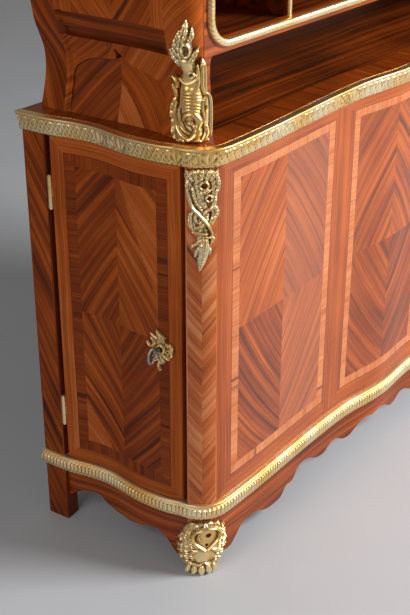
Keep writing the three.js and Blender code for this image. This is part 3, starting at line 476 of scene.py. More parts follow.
class Leaves:
    """The veneer leaves laid on a grid of cells: grain angle, origin, folds and tone of every cell.

    A corner's place in the grain is (u, dz*cos a - ds*sin a + curve*u^2), where u = ds*cos a + dz*sin a, and
    ds and dz are its distances from the leaf's origin, mirrored where the leaf is folded."""

    def __init__(self, s, z, tone=(0.5, 0.0, 0.5)):
        self.corners = [np.stack([a[:-1, :-1], a[1:, :-1], a[1:, 1:], a[:-1, 1:]], -1).reshape(-1, 4)
                        for a in (s, z)]
        self.s, self.z = (c.mean(1) for c in self.corners)
        count = len(self.s)
        self.angle = np.full(count, math.pi / 2)
        self.origin = np.zeros((count, 2))
        self.fold = np.ones((count, 2))
        self.lane = np.zeros(count)
        self.curve = np.zeros(count)
        self.tone = np.tile(tone, (count, 1)).astype(float)

    def box(self, s0, s1, z0, z1):
        """Which cells have their middle between two runs and two levels."""
        return (self.s > s0) & (self.s < s1) & (self.z > z0) & (self.z < z1)

    def lay(self, where, degrees, tone, origin=(0.0, 0.0), lane=0.0, curve=0.0):
        """Lays one plain leaf over some cells; its lane sets it apart from others in the grain."""
        self.angle[where] = math.radians(degrees)
        self.origin[where] = origin
        self.fold[where] = 1
        self.lane[where] = lane
        self.curve[where] = curve
        self.tone[where] = tone

    def wedge(self, box, corner, reach, tone):
        """A paler leaf in a corner of a field: the triangle cut off by a line. corner is (-1 or 1, -1 or 1)
        for low or high run and level, reach its run and level lengths."""
        s0, s1, z0, z1 = box
        along = (s1 - self.s if corner[0] > 0 else self.s - s0) / reach[0]
        up = (z1 - self.z if corner[1] > 0 else self.z - z0) / reach[1]
        self.tone[self.box(*box) & (along + up < 1)] = tone

    def border(self, box, widths, crosswise, tone, lane=0.0):
        """A banding of four widths (low s, high s, low z, high z) inside a box, mitred where they meet."""
        s0, s1, z0, z1 = box
        w = np.maximum(widths, 1e-6)
        gaps = np.stack([(self.s - s0) / w[0], (s1 - self.s) / w[1],
                         (self.z - z0) / w[2], (z1 - self.z) / w[3]], 1)
        nearest = gaps.argmin(1)
        within = (gaps.min(1) > 0) & (gaps.min(1) < 1)
        for side in range(4):
            upright = side < 2
            degrees = 0 if upright == crosswise else 90
            self.lay(within & (nearest == side), degrees, tone, lane=lane + 0.31 * side)
        return s0 + widths[0], s1 - widths[1], z0 + widths[2], z1 - widths[3]

    def folded(self, box, degrees, tones, seam=None, lane=0.0, both=True, curve=LEAF_CURVE):
        """Leaves matched about a seam: the grain runs down and away from the middle at an angle."""
        s0, s1, z0, z1 = box
        ms, mz = seam or ((s0 + s1) / 2, (z0 + z1) / 2)
        here = self.box(*box)
        fs = np.where(self.s < ms, -1.0, 1.0)
        fz = np.where(self.z < mz, -1.0, 1.0) if both else np.ones(len(self.z))
        self.lay(here, -degrees, (0.5, 0, 0.5), (ms, mz), lane, curve)
        self.fold[here] = np.stack([fs, fz], 1)[here]
        for quarter, tone in enumerate(tones):
            chosen = here & ((fs > 0) == (quarter % 2 == 1)) & ((fz > 0) == (quarter < 2))
            self.tone[chosen] = tone
            self.lane[chosen] += 0.043 * quarter

    def grain(self):
        cs, cz = self.corners
        ds = (cs - self.origin[:, :1]) * self.fold[:, :1]
        dz = (cz - self.origin[:, 1:]) * self.fold[:, 1:]
        c, s = np.cos(self.angle)[:, None], np.sin(self.angle)[:, None]
        along = ds * c + dz * s
        across = dz * c - ds * s + self.lane[:, None] + self.curve[:, None] * along**2
        return np.stack([along, across], -1)

    def corner_tone(self):
        return np.repeat(self.tone[:, None], 4, 1)


def veneered(s, z, place, leaves, kept=None):
    """A veneered sheet over a grid of runs and levels."""
    keep = slice(None) if kept is None else np.ravel(kept)
    quads = cells(*s.shape)[keep]
    return Form(place(s, z), quads, leaves.grain()[keep], leaves.corner_tone()[keep]).trimmed()


def put(name, form, finish, body, nodes=(), crease=CREASE):
    """Makes the mesh object of a closed form, faces outwards, gives it to its body and hides the CAD nodes it
    stands for.
    """
    a, b, c, d = (form.points[form.quads[:, i]] for i in range(4))
    volume = np.einsum("ij,ij->i", a, np.cross(b, c) + np.cross(c, d)).sum()
    step = slice(None, None, -1 if volume < 0 else 1)
    quads, grain, tone = form.quads[:, step], form.grain[:, step], form.tone[:, step]
    mesh = bpy.data.meshes.new(name)
    mesh.vertices.add(len(form.points))
    mesh.vertices.foreach_set("co", form.points.astype(np.float32).ravel())
    mesh.loops.add(quads.size)
    mesh.loops.foreach_set("vertex_index", quads.astype(np.int32).ravel())
    mesh.polygons.add(len(quads))
    mesh.polygons.foreach_set("loop_start", np.arange(0, quads.size, 4, dtype=np.int32))
    mesh.polygons.foreach_set("use_smooth", np.ones(len(quads), bool))
    mesh.update(calc_edges=True)
    layer = mesh.uv_layers.new(name="grain")
    layer.data.foreach_set("uv", grain.astype(np.float32).ravel())
    colour = mesh.attributes.new("tone", "FLOAT_COLOR", "CORNER")
    colour.data.foreach_set("color", np.concatenate([tone, np.ones((*tone.shape[:2], 1))], 2)
                            .astype(np.float32).ravel())
    # Patina in the hollows, and on the cast mounts painted shade on the low ground.
    patina_and_shade = mesh.attributes.new("patina_and_shade", "FLOAT", "POINT")
    patina_and_shade.data.foreach_set("value", form.patina_and_shade.astype(np.float32))
    mesh.validate()
    mesh.set_sharp_from_angle(angle=math.radians(crease))
    mesh.materials.append(finish.material)
    piece = bpy.data.objects.new(name, mesh)
    bpy.context.scene.collection.objects.link(piece)
    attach(piece, body)
    if nodes:
        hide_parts(*nodes)
    return piece


def put_pair(stem, form, finish, bodies=(CABINET, CABINET), nodes=(), crease=CREASE):
    """The left piece and its mirror image; a node's name is given without its side."""
    pieces = []
    for side, body, shape in zip(SIDES, bodies, (form, form.mirrored())):
        names = [f"{node}_{side}" for node in nodes]
        pieces.append(put(f"{stem}_{side}", shape, finish, body, names, crease))
    return pieces


# The faces of a box whose corners run over its three directions' low and high ends in turn
BOX_FACES = ((0, 1, 3, 2), (4, 6, 7, 5), (0, 4, 5, 1), (2, 3, 7, 6), (0, 2, 6, 4), (1, 5, 7, 3))


def carve(piece, corners):
    """Cuts a box, given by its eight corners, out of a piece."""
    mesh = bpy.data.meshes.new("cutter")
    mesh.from_pydata([tuple(c) for c in corners], [], BOX_FACES)
    work = bmesh.new()
    work.from_mesh(mesh)
    bmesh.ops.recalc_face_normals(work, faces=work.faces)
    work.to_mesh(mesh)
    work.free()
    cutter = bpy.data.objects.new("cutter", mesh)
    bpy.context.scene.collection.objects.link(cutter)
    modifier = piece.modifiers.new("mortise", "BOOLEAN")
    modifier.operation = "DIFFERENCE"
    modifier.solver = "EXACT"
    modifier.object = cutter
    bpy.context.view_layer.update()
    evaluated = piece.evaluated_get(bpy.context.evaluated_depsgraph_get())
    cut = bpy.data.meshes.new_from_object(evaluated)
    piece.modifiers.clear()
    old = piece.data
    piece.data = cut
    cut.name = piece.name
    bpy.data.meshes.remove(old)
    bpy.data.objects.remove(cutter)
    bpy.data.meshes.remove(mesh)


# Materials

class Paint:
    """A node material. A value given to an input is a number, a colour or another node's output."""

    def __init__(self, name, slot):
        self.material = bpy.data.materials.new(name)
        self.material.use_nodes = True
        self.tree = self.material.node_tree
        self.shader = self.tree.nodes["Principled BSDF"]
        self.slot = slot

    def set(self, node, inputs):
        for key, value in inputs.items():
            if isinstance(value, bpy.types.NodeSocket):
                self.tree.links.new(value, node.inputs[key])
            else:
                node.inputs[key].default_value = value

    def node(self, kind, inputs, **settings):
        node = self.tree.nodes.new(kind)
        for key, value in settings.items():
            setattr(node, key, value)
        self.set(node, inputs)
        return node

    def coordinates(self, source):
        if source == "grain":
            return self.node("ShaderNodeUVMap", {}, uv_map="grain").outputs["UV"]
        return self.node("ShaderNodeTexCoord", {}).outputs["Object"]

    def attribute(self, name):
        return self.node("ShaderNodeAttribute", {}, attribute_name=name, attribute_type="GEOMETRY").outputs

    def stretched(self, vector, scale):
        return self.node("ShaderNodeMapping", {"Vector": vector, "Scale": scale}).outputs["Vector"]

    def noise(self, vector, scale=1.0, detail=3.0, rough=0.5):
        return self.node("ShaderNodeTexNoise", {"Vector": vector, "Scale": scale, "Detail": detail,
                                                "Roughness": rough}).outputs["Fac"]

    def maths(self, operation, a, b, clamp=False):
        return self.node("ShaderNodeMath", {0: a, 1: b}, operation=operation, use_clamp=clamp).outputs[0]

    def remap(self, value, low, high, to_low=0.0, to_high=1.0):
        return self.node("ShaderNodeMapRange", {"Value": value, "From Min": low, "From Max": high,
                                                "To Min": to_low, "To Max": to_high}).outputs["Result"]

    def ramp(self, value, stops):
        node = self.node("ShaderNodeValToRGB", {"Fac": value})
        ends = node.color_ramp.elements
        while len(ends) < len(stops):
            ends.new(0.5)
        for element, (place, colour) in zip(ends, stops):
            element.position = place
            element.color = (*colour, 1)
        return node.outputs["Color"]

    def mix(self, share, a, b):
        node = self.node("ShaderNodeMix", {}, data_type="RGBA")
        for socket, value in zip((node.inputs[0], node.inputs[6], node.inputs[7]), (share, a, b)):
            if isinstance(value, bpy.types.NodeSocket):
                self.tree.links.new(value, socket)
            else:
                socket.default_value = value if isinstance(value, float) else (*value[:3], 1)
        return node.outputs[2]

    def bump(self, height, strength, distance):
        node = self.node("ShaderNodeBump", {"Height": height, "Strength": strength, "Distance": distance})
        return node.outputs["Normal"]


def rosewood(name, slot, colours, source="grain", shade=0.0, polish=0.35):
    """Striped rosewood. Stripes, veins and pores are noises drawn out along the grain (the first
    coordinate); tone holds a lightness, a painted pink sheen (a painted reflection) and a strength of figure."""
    paint = Paint(name, slot)
    at = paint.coordinates(source)
    bend = paint.noise(paint.stretched(at, (3.0, 6.0, 6.0)), detail=2.0)
    offset = paint.maths("MULTIPLY", paint.maths("SUBTRACT", bend, 0.5), 0.022)
    parts = paint.node("ShaderNodeSeparateXYZ", {"Vector": at})
    across = paint.maths("ADD", parts.outputs["Y"], offset)
    bent = paint.node("ShaderNodeCombineXYZ", {"X": parts.outputs["X"], "Y": across,
                                               "Z": parts.outputs["Z"]}).outputs["Vector"]
    stripes = paint.noise(paint.stretched(bent, (1.4, 78.0, 78.0)), detail=4.0, rough=0.62)
    fine = paint.noise(paint.stretched(bent, (3.0, 420.0, 420.0)), detail=2.0)
    veins = paint.noise(paint.stretched(bent, (1.0, 64.0, 64.0)), detail=1.0)
    pores = paint.noise(paint.stretched(bent, (45.0, 1400.0, 1400.0)), detail=1.0)
    clouds = paint.noise(paint.stretched(at, (6.0, 9.0, 9.0)), detail=2.0)
    if source == "grain":
        tone = paint.attribute("tone")["Color"]
        light, painted_sheen, figure = paint.node("ShaderNodeSeparateColor", {"Color": tone}).outputs
    else:
        light, painted_sheen, figure = 0.5 + shade, 0.0, 0.5
    strength = paint.maths("ADD", paint.maths("MULTIPLY", figure, 1.5), 0.2)
    wave = paint.maths("MULTIPLY", paint.maths("SUBTRACT", stripes, 0.5), strength)
    thin = paint.maths("MULTIPLY", paint.maths("SUBTRACT", fine, 0.5), 0.5)
    cloud = paint.maths("MULTIPLY", paint.maths("SUBTRACT", clouds, 0.5), 0.45)
    level = paint.maths("ADD", paint.maths("ADD", wave, thin), paint.maths("ADD", cloud, light), clamp=True)
    dark, mid, bright, pale = colours
    colour = paint.ramp(level, ((0.08, dark), (0.4, mid), (0.68, bright), (1.0, pale)))
    lines = paint.remap(veins, 0.37, 0.29)
    colour = paint.mix(paint.maths("MULTIPLY", lines, 0.7, clamp=True), colour, dark)
    # Mixing towards a pinkish grey by the tone's second channel: a painted sheen, a painted reflection.
    colour = paint.mix(paint.maths("MULTIPLY", painted_sheen, 0.5), colour, (0.36, 0.17, 0.12))
    specks = paint.remap(pores, 0.38, 0.3)
    colour = paint.mix(paint.maths("MULTIPLY", specks, 0.35, clamp=True), colour, dark)
    relief = paint.maths("SUBTRACT", paint.maths("MULTIPLY", fine, 0.3), specks)
    paint.set(paint.shader, {
        "Base Color": colour, "Roughness": paint.remap(clouds, 0.3, 0.7, 0.26, 0.38),
        "Coat Weight": polish * 0.4, "Coat Roughness": 0.12, "Specular IOR Level": polish,
        "Normal": paint.bump(relief, 0.12, 0.0004)})
    return paint


def oak(name, slot, colour):
    """Plain oak along X: drawn-out noise between a dark and a light brown, with open pores."""
    paint = Paint(name, slot)
    at = paint.coordinates("object")
    rings = paint.noise(paint.stretched(at, (2.0, 60.0, 60.0)), detail=4.0, rough=0.6)
    pores = paint.noise(paint.stretched(at, (25.0, 900.0, 900.0)), detail=1.0)
    dark = tuple(c * 0.5 for c in colour)
    tone = paint.ramp(rings, ((0.25, dark), (0.75, colour)))
    specks = paint.remap(pores, 0.42, 0.32)
    cover = paint.maths("MULTIPLY", specks, 0.5, clamp=True)
    paint.set(paint.shader, {"Base Color": paint.mix(cover, tone, dark), "Roughness": 0.62,
                             "Normal": paint.bump(specks, 0.2, 0.0004)})
    return paint


def gilding(name, slot, colour, rubbed, umber, reads_patina_and_shade=True):
    """Chased gilt brass: worn pale on the high places, umber where patina lies and, on the cast mounts, where
    painted shade lies on the low ground, with fine tooling marks.
    """
    paint = Paint(name, slot)
    at = paint.coordinates("object")
    worn = paint.noise(at, 60.0, detail=4.0, rough=0.6)
    tooling = paint.noise(at, 900.0, detail=2.0)
    stains = paint.noise(at, 14.0, detail=3.0)
    # The patina attribute holds patina in the hollows and, on the cast mounts, painted shade on the low
    # ground.
    held = paint.attribute("patina_and_shade")["Fac"] if reads_patina_and_shade else 0.5
    dirt_and_shade = paint.maths("ADD", held, paint.maths("MULTIPLY", paint.maths("SUBTRACT", worn, 0.5), 0.35))
    metal = paint.mix(paint.remap(stains, 0.35, 0.65), colour, rubbed)
    cover = paint.remap(dirt_and_shade, 0.54, 0.84, 0.0, 0.92)
    paint.set(paint.shader, {
        "Base Color": paint.mix(cover, metal, umber), "Metallic": paint.remap(cover, 0.0, 1.0, 1.0, 0.5),
        "Roughness": paint.remap(dirt_and_shade, 0.3, 0.8, 0.3, 0.55),
        "Normal": paint.bump(tooling, 0.1, 0.0003)})
    return paint


def iron(name, slot, colour):
    """Worn iron: grey metal, mottled darker and rougher by noise."""
    paint = Paint(name, slot)
    at = paint.coordinates("object")
    spots = paint.noise(at, 120.0, detail=5.0, rough=0.65)
    dark = tuple(c * 0.45 for c in colour)
    paint.set(paint.shader, {"Base Color": paint.ramp(spots, ((0.3, dark), (0.7, colour))), "Metallic": 0.9,
                             "Roughness": paint.remap(spots, 0.3, 0.7, 0.6, 0.32),
                             "Normal": paint.bump(spots, 0.2, 0.0003)})
    return paint


# Veneer tones: lightness, a painted pink sheen (a painted reflection) and strength of figure
BAND = (0.54, 0.0, 0.3)
SALMON = (0.84, 0.1, 0.2)
DARK_BAND = (0.36, 0.0, 0.22)
STRING = (0.1, 0.0, 0.1)
STRING_WIDE = (0.0011, 0.0011, 0.0011, 0.0011)

finishes = {}


def finish(name):
    """A named finish, made once from the colours in the panel. The side, top, plinth and inside finishes take
    a darker copy of the wood: painted shade beside the lit front.
    """
    if name not in finishes:
        c = bpy.context.scene.cabinet_colours
        wood = (c.wood_dark, c.wood_mid, c.wood_bright, c.wood_pale)
        # A darker copy of the wood for the side, top, plinth and inside finishes: painted shade.
        painted_shade_wood = tuple(tuple(v * c.side_painted_shade for v in colour) for colour in wood)
        gold = (tuple(c.gilt), tuple(c.gilt_rubbed), tuple(c.umber))
        finishes[name] = {
            "front": lambda: rosewood("front_veneer", "veneer", wood),
            "side": lambda: rosewood("side_veneer", "veneer", painted_shade_wood, polish=0.1),
            "top": lambda: rosewood("top_veneer", "veneer", painted_shade_wood, polish=0.22),
            "plinth": lambda: rosewood("plinth_veneer", "dark_veneer", painted_shade_wood, polish=0.2),
            "rails": lambda: rosewood("rail_veneer", "veneer", wood, "object"),
            "inside": lambda: rosewood("inside_veneer", "dark_veneer", painted_shade_wood, "object", shade=-0.25),
            "oak": lambda: oak("plain_oak", "oak", tuple(c.oak)),
            "gilt": lambda: gilding("chased_gilt", "gilt", *gold),
            "plain_gilt": lambda: gilding("plain_gilt", "gilt", *gold, False),
            "iron": lambda: iron("worn_iron", "steel", tuple(c.iron)),
        }[name]()
    return finishes[name]


def sizes():
    return bpy.context.scene.cabinet_sizes


# Base pieces

def grid(s_breaks, z_breaks, step):
    """Runs and levels of a grid, with lines on every break."""
    return np.meshgrid(between(s_breaks, step), between(z_breaks, step), indexing="ij")


def border_breaks(box, *rings):
    """Where the grid needs lines for bands of widths (low s, high s, low z, high z), one inside another."""
    s0, s1, z0, z1 = box
    runs, levels = [s0, s1], [z0, z1]
    for widths in rings:
        s0, s1, z0, z1 = s0 + widths[0], s1 - widths[1], z0 + widths[2], z1 - widths[3]
        runs += [s0, s1]
        levels += [z0, z1]
    return runs + [(s0 + s1) / 2], levels + [(z0 + z1) / 2]


def base_face(s, z):
    return base.place(s, z, 0.0)


def front_panel(box, outer, light, tones, angle, lane):
    """A framed panel: a band along the grain, a dark string, a light cross-grained band, matched leaves."""
    runs, levels = border_breaks(box, outer, STRING_WIDE, light)
    s, z = grid(runs, levels, sizes().grid_step)
    leaves = Leaves(s, z)
    inner = leaves.border(box, outer, False, BAND, 0.7)
    inner = leaves.border(inner, STRING_WIDE, False, STRING)
    field = leaves.border(inner, light, True, SALMON, 1.9)
    leaves.folded(field, angle, tones, lane=lane)
    return veneered(s, z, base_face, leaves).thickened(base.place(s, z, -PANEL).reshape(-1, 3))


def make_panels():
    """The front's three framed panels. A band's widths are at its low run, high run, foot and head."""
    levels = (CASE_LOW + SEAT, CASE_TOP - SEAT)
    box = (JOINT_RUN + SEAT / 2, POST_FRONT - SEAT, *levels)
    outer = (0.0105, 0.033, 0.037, 0.018)
    light = (0.0175, 0.018, 0.017, 0.014)
    tones = ((0.52, 0.55, 0.55), (0.6, 0.0, 0.6), (0.6, 0.45, 0.6), (0.42, 0.1, 0.95))
    form = front_panel(box, outer, light, tones, PANEL_GRAIN, 3.1)
    put_pair("front_panel_face", form, finish("front"), nodes=["front_panel"])
    half = JOINT_RUN - SEAT / 2
    outer = (0.047, 0.047, 0.037, 0.018)
    light = (0.016, 0.016, 0.017, 0.014)
    tones = ((0.5, 0.1, 0.6), (0.52, 0.1, 0.7), (0.42, 0.1, 0.8), (0.44, 0.1, 0.8))
    form = front_panel((-half, half, *levels), outer, light, tones, PANEL_GRAIN, 4.7)
    put("front_panel_centre_face", form, finish("front"), CABINET, ["front_panel_centre"])


def lock_axes():
    """The lock's corner in plan, its direction across (v) and its direction inwards (u)."""
    corner = base.place(DOOR_FRONT, 0, 0)[:2]
    pin = base.place(STILE_RUN - STILE_GAP / 2, 0, 0)[:2]
    v = (pin - corner) / np.linalg.norm(pin - corner)
    return corner, v, np.array([v[1], -v[0]])


def lock_box(low, high):
    """The eight corners of a box given in the lock's own directions (u, v, z)."""
    corner, v, u = lock_axes()
    ends = list(zip(low, high))
    return [np.r_[corner + u * a + v * b, c] for a in ends[0] for b in ends[1] for c in ends[2]]


def make_posts():
    """Rounded corner posts: herringbone leaves that point down, between light strings."""
    box = (POST_FRONT, POST_SIDE, 0.0, CASE_TOP - SEAT)
    string = 0.0022
    s, z = grid([box[0], box[0] + string, POST_MIDDLE, box[1] - string, box[1]], [0, CASE_TOP - SEAT],
                sizes().grid_step * 0.7)
    leaves = Leaves(s, z)
    # The posts' leaves are painted lighter than the panels' (lightness 0.7): painted light on the corner.
    leaves.folded(box, -50, [(0.7, 0.0, 0.85)] * 4, (POST_MIDDLE, -1.0), 5.3, both=False, curve=0.0)
    for low, high in ((box[0], box[0] + string), (box[1] - string, box[1])):
        leaves.lay(leaves.box(low, high, -1, 2), 90, SALMON)
    first = base.place(POST_FRONT, 0, -PANEL)[:2]
    last = base.place(POST_SIDE, 0, -POST_DEEP)[:2]
    share = ((s - POST_FRONT) / (POST_SIDE - POST_FRONT))[..., None]
    inner = np.concatenate([first * (1 - share) + last * share, z[..., None]], -1)
    form = veneered(s, z, base_face, leaves).thickened(inner.reshape(-1, 3))
    posts = put_pair("corner_post_face", form, finish("front"), nodes=["corner_post"])
    middle = KEY_LEVEL + MORTISE_LIFT
    mortise = lock_box(
        (MORTISE_NEAR - MORTISE_PLAY, -DOOR_GAP - MORTISE_REACH, middle - MORTISE_HALF - MORTISE_PLAY),
        (MORTISE_FAR + MORTISE_PLAY, MORTISE_LAP, middle + MORTISE_HALF + MORTISE_PLAY))
    for post, side in zip(posts, (1, -1)):
        carve(post, [c * (side, 1, 1) for c in mortise])


def make_stiles():
    """Rear stiles: one slanting leaf each, between thin dark edges."""
    s, z = grid([STILE_RUN, base.back], [0, CASE_TOP - SEAT], sizes().grid_step)
    leaves = Leaves(s, z)
    leaves.lay(leaves.box(0, 2, -1, 2), 62, (0.36, 0.0, 0.8), (STILE_RUN, 0), 2.2)
    leaves.border((STILE_RUN, base.back, 0, CASE_TOP), (0.003, 0.003, 1e-5, 1e-5), False, DARK_BAND)
    form = veneered(s, z, base_face, leaves).thickened(base.place(s, z, -STILE).reshape(-1, 3))
    put_pair("rear_stile_face", form, finish("side"), nodes=["rear_stile"])


def apron(shares, low, high, whole):
    """A shaped apron: its lower edge follows a smooth table of height shares along the run."""
    runs = between([-high, 0, high] if whole else [low, high], sizes().grid_step)
    up = np.linspace(0, 1, 26)
    s, u = np.meshgrid(runs, up, indexing="ij")
    edge = APRON_CENTRE * flow(shares, (np.abs(s) - low) / (high - low))
    z = edge + (APRON_TOP - edge) * u
    leaves = Leaves(s, z)
    leaves.lay(leaves.box(-2, 2, -1, 2), 0, (0.42, 0.0, 0.7), lane=1.3)
    face = veneered(s, z, lambda a, b: base.place(a, b, -APRON_INSET), leaves)
    return face.thickened(base.place(s, z, -APRON_INSET - APRON).reshape(-1, 3))


def make_aprons():
    """The scalloped aprons under the front and under each end."""
    form = apron(FRONT_APRON_SHARES, 0.0, POST_FRONT - SEAT, True)
    put("front_apron_face", form, finish("plinth"), CABINET, ["front_apron"])
    form = apron(SIDE_APRON_SHARES, POST_SIDE + SEAT, STILE_RUN - SEAT, False)
    put_pair("side_apron_face", form, finish("plinth"), nodes=["side_apron"])


def make_doors():
    """Framed serpentine doors, each with a keyhole through it and a pocket for the lock inside."""
    box = (DOOR_FRONT, DOOR_BACK, CASE_LOW + DOOR_LOW, CASE_TOP - DOOR_HIGH)
    outer = (0.022, 0.024, 0.024, 0.024)
    cross = (0.018, 0.018, 0.020, 0.020)
    runs, levels = border_breaks(box, outer, STRING_WIDE, cross)
    pocket_end = DOOR_FRONT + LOCK_WIDE + SEAT
    around = np.arange(-4, 5) * KEYHOLE / 2
    runs += [pocket_end, pocket_end + POCKET_TIGHT, *(KEY_RUN + around)]
    low, high = LOCK_LOW - SEAT, LOCK_LOW + LOCK_TALL + SEAT
    levels += [low - POCKET_TIGHT, low, high, high + POCKET_TIGHT, *(KEY_LEVEL + around)]
    s, z = grid(runs, levels, sizes().grid_step)
    kept, s, z, _ = fitted(s, z, np.hypot(s - KEY_RUN, z - KEY_LEVEL) - KEYHOLE)
    leaves = Leaves(s, z)
    inner = leaves.border(box, outer, False, (0.6, 0.0, 0.42), 0.2)
    inner = leaves.border(inner, STRING_WIDE, False, (0.24, 0, 0.1))
    field = leaves.border(inner, cross, True, DARK_BAND, 4.4)
    tones = ((0.5, 0, 0.62), (0.42, 0, 0.72), (0.38, 0, 0.66), (0.46, 0, 0.72))
    leaves.folded(field, PANEL_GRAIN, tones, lane=7.7)
    leaves.wedge(field, (-1, 1), (0.072, 0.19), (0.66, 0, 0.35))
    leaves.wedge(field, (1, -1), (0.055, 0.09), (0.64, 0, 0.35))
    corner, _, inwards = lock_axes()
    face = base_face(s, z)
    normal = (face - base.place(s, z, -1.0))[..., :2]
    pocket_out = (LOCK_SUNK - SEAT - (face[..., :2] - corner) @ inwards) / (normal @ inwards)
    half = POCKET_TIGHT / 2
    in_pocket = (s < pocket_end + half) & (z > low - half) & (z < high + half)
    back = base.place(s, z, np.where(in_pocket, pocket_out, -PANEL)).reshape(-1, 3)
    used = np.unique(cells(*s.shape)[kept.ravel()])
    form = veneered(s, z, base_face, leaves, kept).thickened(back[used])
    put_pair("door_face", form, finish("side"), DOORS, ["door"])


def plateau(outline, corner, rows, step, band_tone, field_tone):
    """A board over the whole plan: rows of (out, z) run from the field's edge over the rim, and the field is
    a Coons patch inside them: P = (1-v)F + vB + (1-u)L + uR - the bilinear blend of the corners."""
    side = between([corner, outline.back], step)
    front = between([-corner, 0, corner], step)[::-1]
    runs = np.r_[side[::-1], front[1:-1], -side]
    inner_out, inner_z = rows[0]
    left, ahead, right = (outline.place(r, inner_z, inner_out) for r in (side, front, -side))
    u = np.linspace(0, 1, len(front))[:, None, None]
    v = np.linspace(0, 1, len(side))[None, :, None]
    behind = left[-1] * (1 - u[:, :, 0]) + right[-1] * u[:, :, 0]
    corners = ((1 - u) * (1 - v) * left[0] + u * (1 - v) * right[0]
               + (1 - u) * v * left[-1] + u * v * right[-1])
    field = ((1 - v) * ahead[:, None] + v * behind[:, None]
             + (1 - u) * left[None] + u * right[None] - corners)
    leaves = Leaves(field[..., 0], field[..., 1])
    leaves.lay(slice(None), 0, field_tone, lane=2.0)
    inside = Form(field, cells(*field.shape[:2]), leaves.grain(), leaves.corner_tone())
    outs, levels = np.array(rows).T
    points = outline.place(runs[:, None], levels[None], outs[None])
    length = np.r_[0, np.cumsum(np.hypot(np.diff(outs), np.diff(levels)))]
    leaves = Leaves(*np.meshgrid(runs, length, indexing="ij"))
    leaves.lay(slice(None), 90, band_tone, lane=6.0)
    quads = cells(*points.shape[:2])[:, ::-1]
    rim = Form(points, quads, leaves.grain()[:, ::-1], leaves.corner_tone()[:, ::-1])
    return joined(inside, rim).welded()


def make_top_board():
    """The base's top: leaves along the width inside a cross-grained band that follows the curved edge."""
    band, step = 0.046, 0.004
    corner = base.at_x(-base.line[:, 0].min() * FIELD_CORNER)
    rows = [(out, BASE_TOP) for out in between([-band, 0.0], step)]
    # The band (0.36) and the field (0.26) are painted darker: painted shadow of the upper case.
    whole = plateau(base, corner, rows, step, (0.36, 0.0, 0.4), (0.26, 0.0, 0.7))
    put("base_top_board_face", whole.thickened(whole.points * (1, 1, 0) + (0, 0, CASE_TOP)), finish("top"),
        CABINET, ["base_top_board"])


def make_upper_top():
    """The case's top board, with a moulded edge that swells out and rounds over."""
    thick = ALL_TOP - UPPER_TOP
    side_out = 0.4 * SWELL
    outs = [-0.03, -0.015, 0.0, 0.006, 0.011, 0.0145, 0.0165, 0.0177, TOP_OUT, TOP_OUT, 0.0165, 0.0125]
    ups = [1, 1, 1, 1, 0.995, 0.97, 0.93, 0.88, 0.8, 0.62, 0.5, 0.4]
    rows = [(out, UPPER_TOP + thick * up) for out, up in zip(outs, ups)]
    whole = plateau(upper, UPPER_MIDDLE, rows, 0.006, (0.5, 0.05, 0.5), (0.45, 0.05, 0.7))
    points = whole.points
    depth = np.abs(points[:, 1] - SHIFT)
    facing = np.interp(depth, [UPPER_SETBACK, UPPER_SETBACK + UPPER_CORNER_DEPTH], [0, 1])
    spread = np.clip((np.abs(points[:, 0]) - UPPER_HALF + 0.04) / 0.06, 0, 1)
    points[:, 0] += np.sign(points[:, 0]) * side_out * facing * spread
    points[:, 1] = np.minimum(points[:, 1], UPPER_BACK + SHIFT)
    shrink = np.interp(points[:, 2], [UPPER_TOP + thick * 0.4, UPPER_TOP + thick * 0.42], [0.004, 0.0])
    back = points * (1, 1, 0) + (0, 0, UPPER_TOP)
    back[:, 0] -= np.sign(points[:, 0]) * shrink * spread
    put("upper_top_board_face", whole.thickened(back), finish("front"), CABINET, ["upper_top_board"])


# Upper section

def arch_line():
    """The arch's outline in depth and level: two smooth curves that meet in a sharp crown."""
    shares = np.array(ARCH_SHARES)
    parts = [spline(shares[:ARCH_CUSP + 1], 60), spline(shares[ARCH_CUSP:], 60)]
    curve = np.concatenate(parts) * (ARCH_WIDE, ARCH_TALL) + (ARCH_FRONT, BASE_TOP)
    return np.r_[[[curve[0, 0], BASE_TOP - 0.05]], curve, [[curve[-1, 0], BASE_TOP - 0.05]]]


def field_line():
    """The arch's outline drawn in by a play about the middle of its foot, and without the sharp crown."""
    shrink = 1 - 2 * FIELD_PLAY / ARCH_WIDE
    shares = np.array([share for share in ARCH_SHARES if share[1] < 1])
    curve = (spline(shares, 110) - (0.5, 0)) * (ARCH_WIDE * shrink, ARCH_TALL * shrink)
    curve += (ARCH_FRONT + ARCH_WIDE / 2, BASE_TOP)
    return np.r_[[[curve[0, 0], BASE_TOP - 0.05]], curve, [[curve[-1, 0], BASE_TOP - 0.05]]]


def signed_distance(points, loop):
    """Distance to a closed polyline, negative inside it (even-odd rule)."""
    a, b = loop, np.roll(loop, -1, axis=0)
    p = points[:, None]
    along = np.clip(((p - a) * (b - a)).sum(-1) / np.maximum(((b - a) ** 2).sum(-1), 1e-12), 0, 1)
    gap = np.linalg.norm(p - a - along[..., None] * (b - a), axis=-1).min(1)
    rise = np.where(b[:, 1] == a[:, 1], 1e-12, b[:, 1] - a[:, 1])
    crosses = (a[:, 1] > p[..., 1]) != (b[:, 1] > p[..., 1])
    hit = crosses & (p[..., 0] < (b[:, 0] - a[:, 0]) * (p[..., 1] - a[:, 1]) / rise + a[:, 0])
    return np.where(hit.sum(1) % 2 == 1, -gap, gap)


def dip(value, low, high, soft):
    """1 between low and high, falling to 0 over a soft distance inside each end."""
    return ease(np.clip((value - low) / soft, 0, 1)) * ease(np.clip((high - value) / soft, 0, 1))


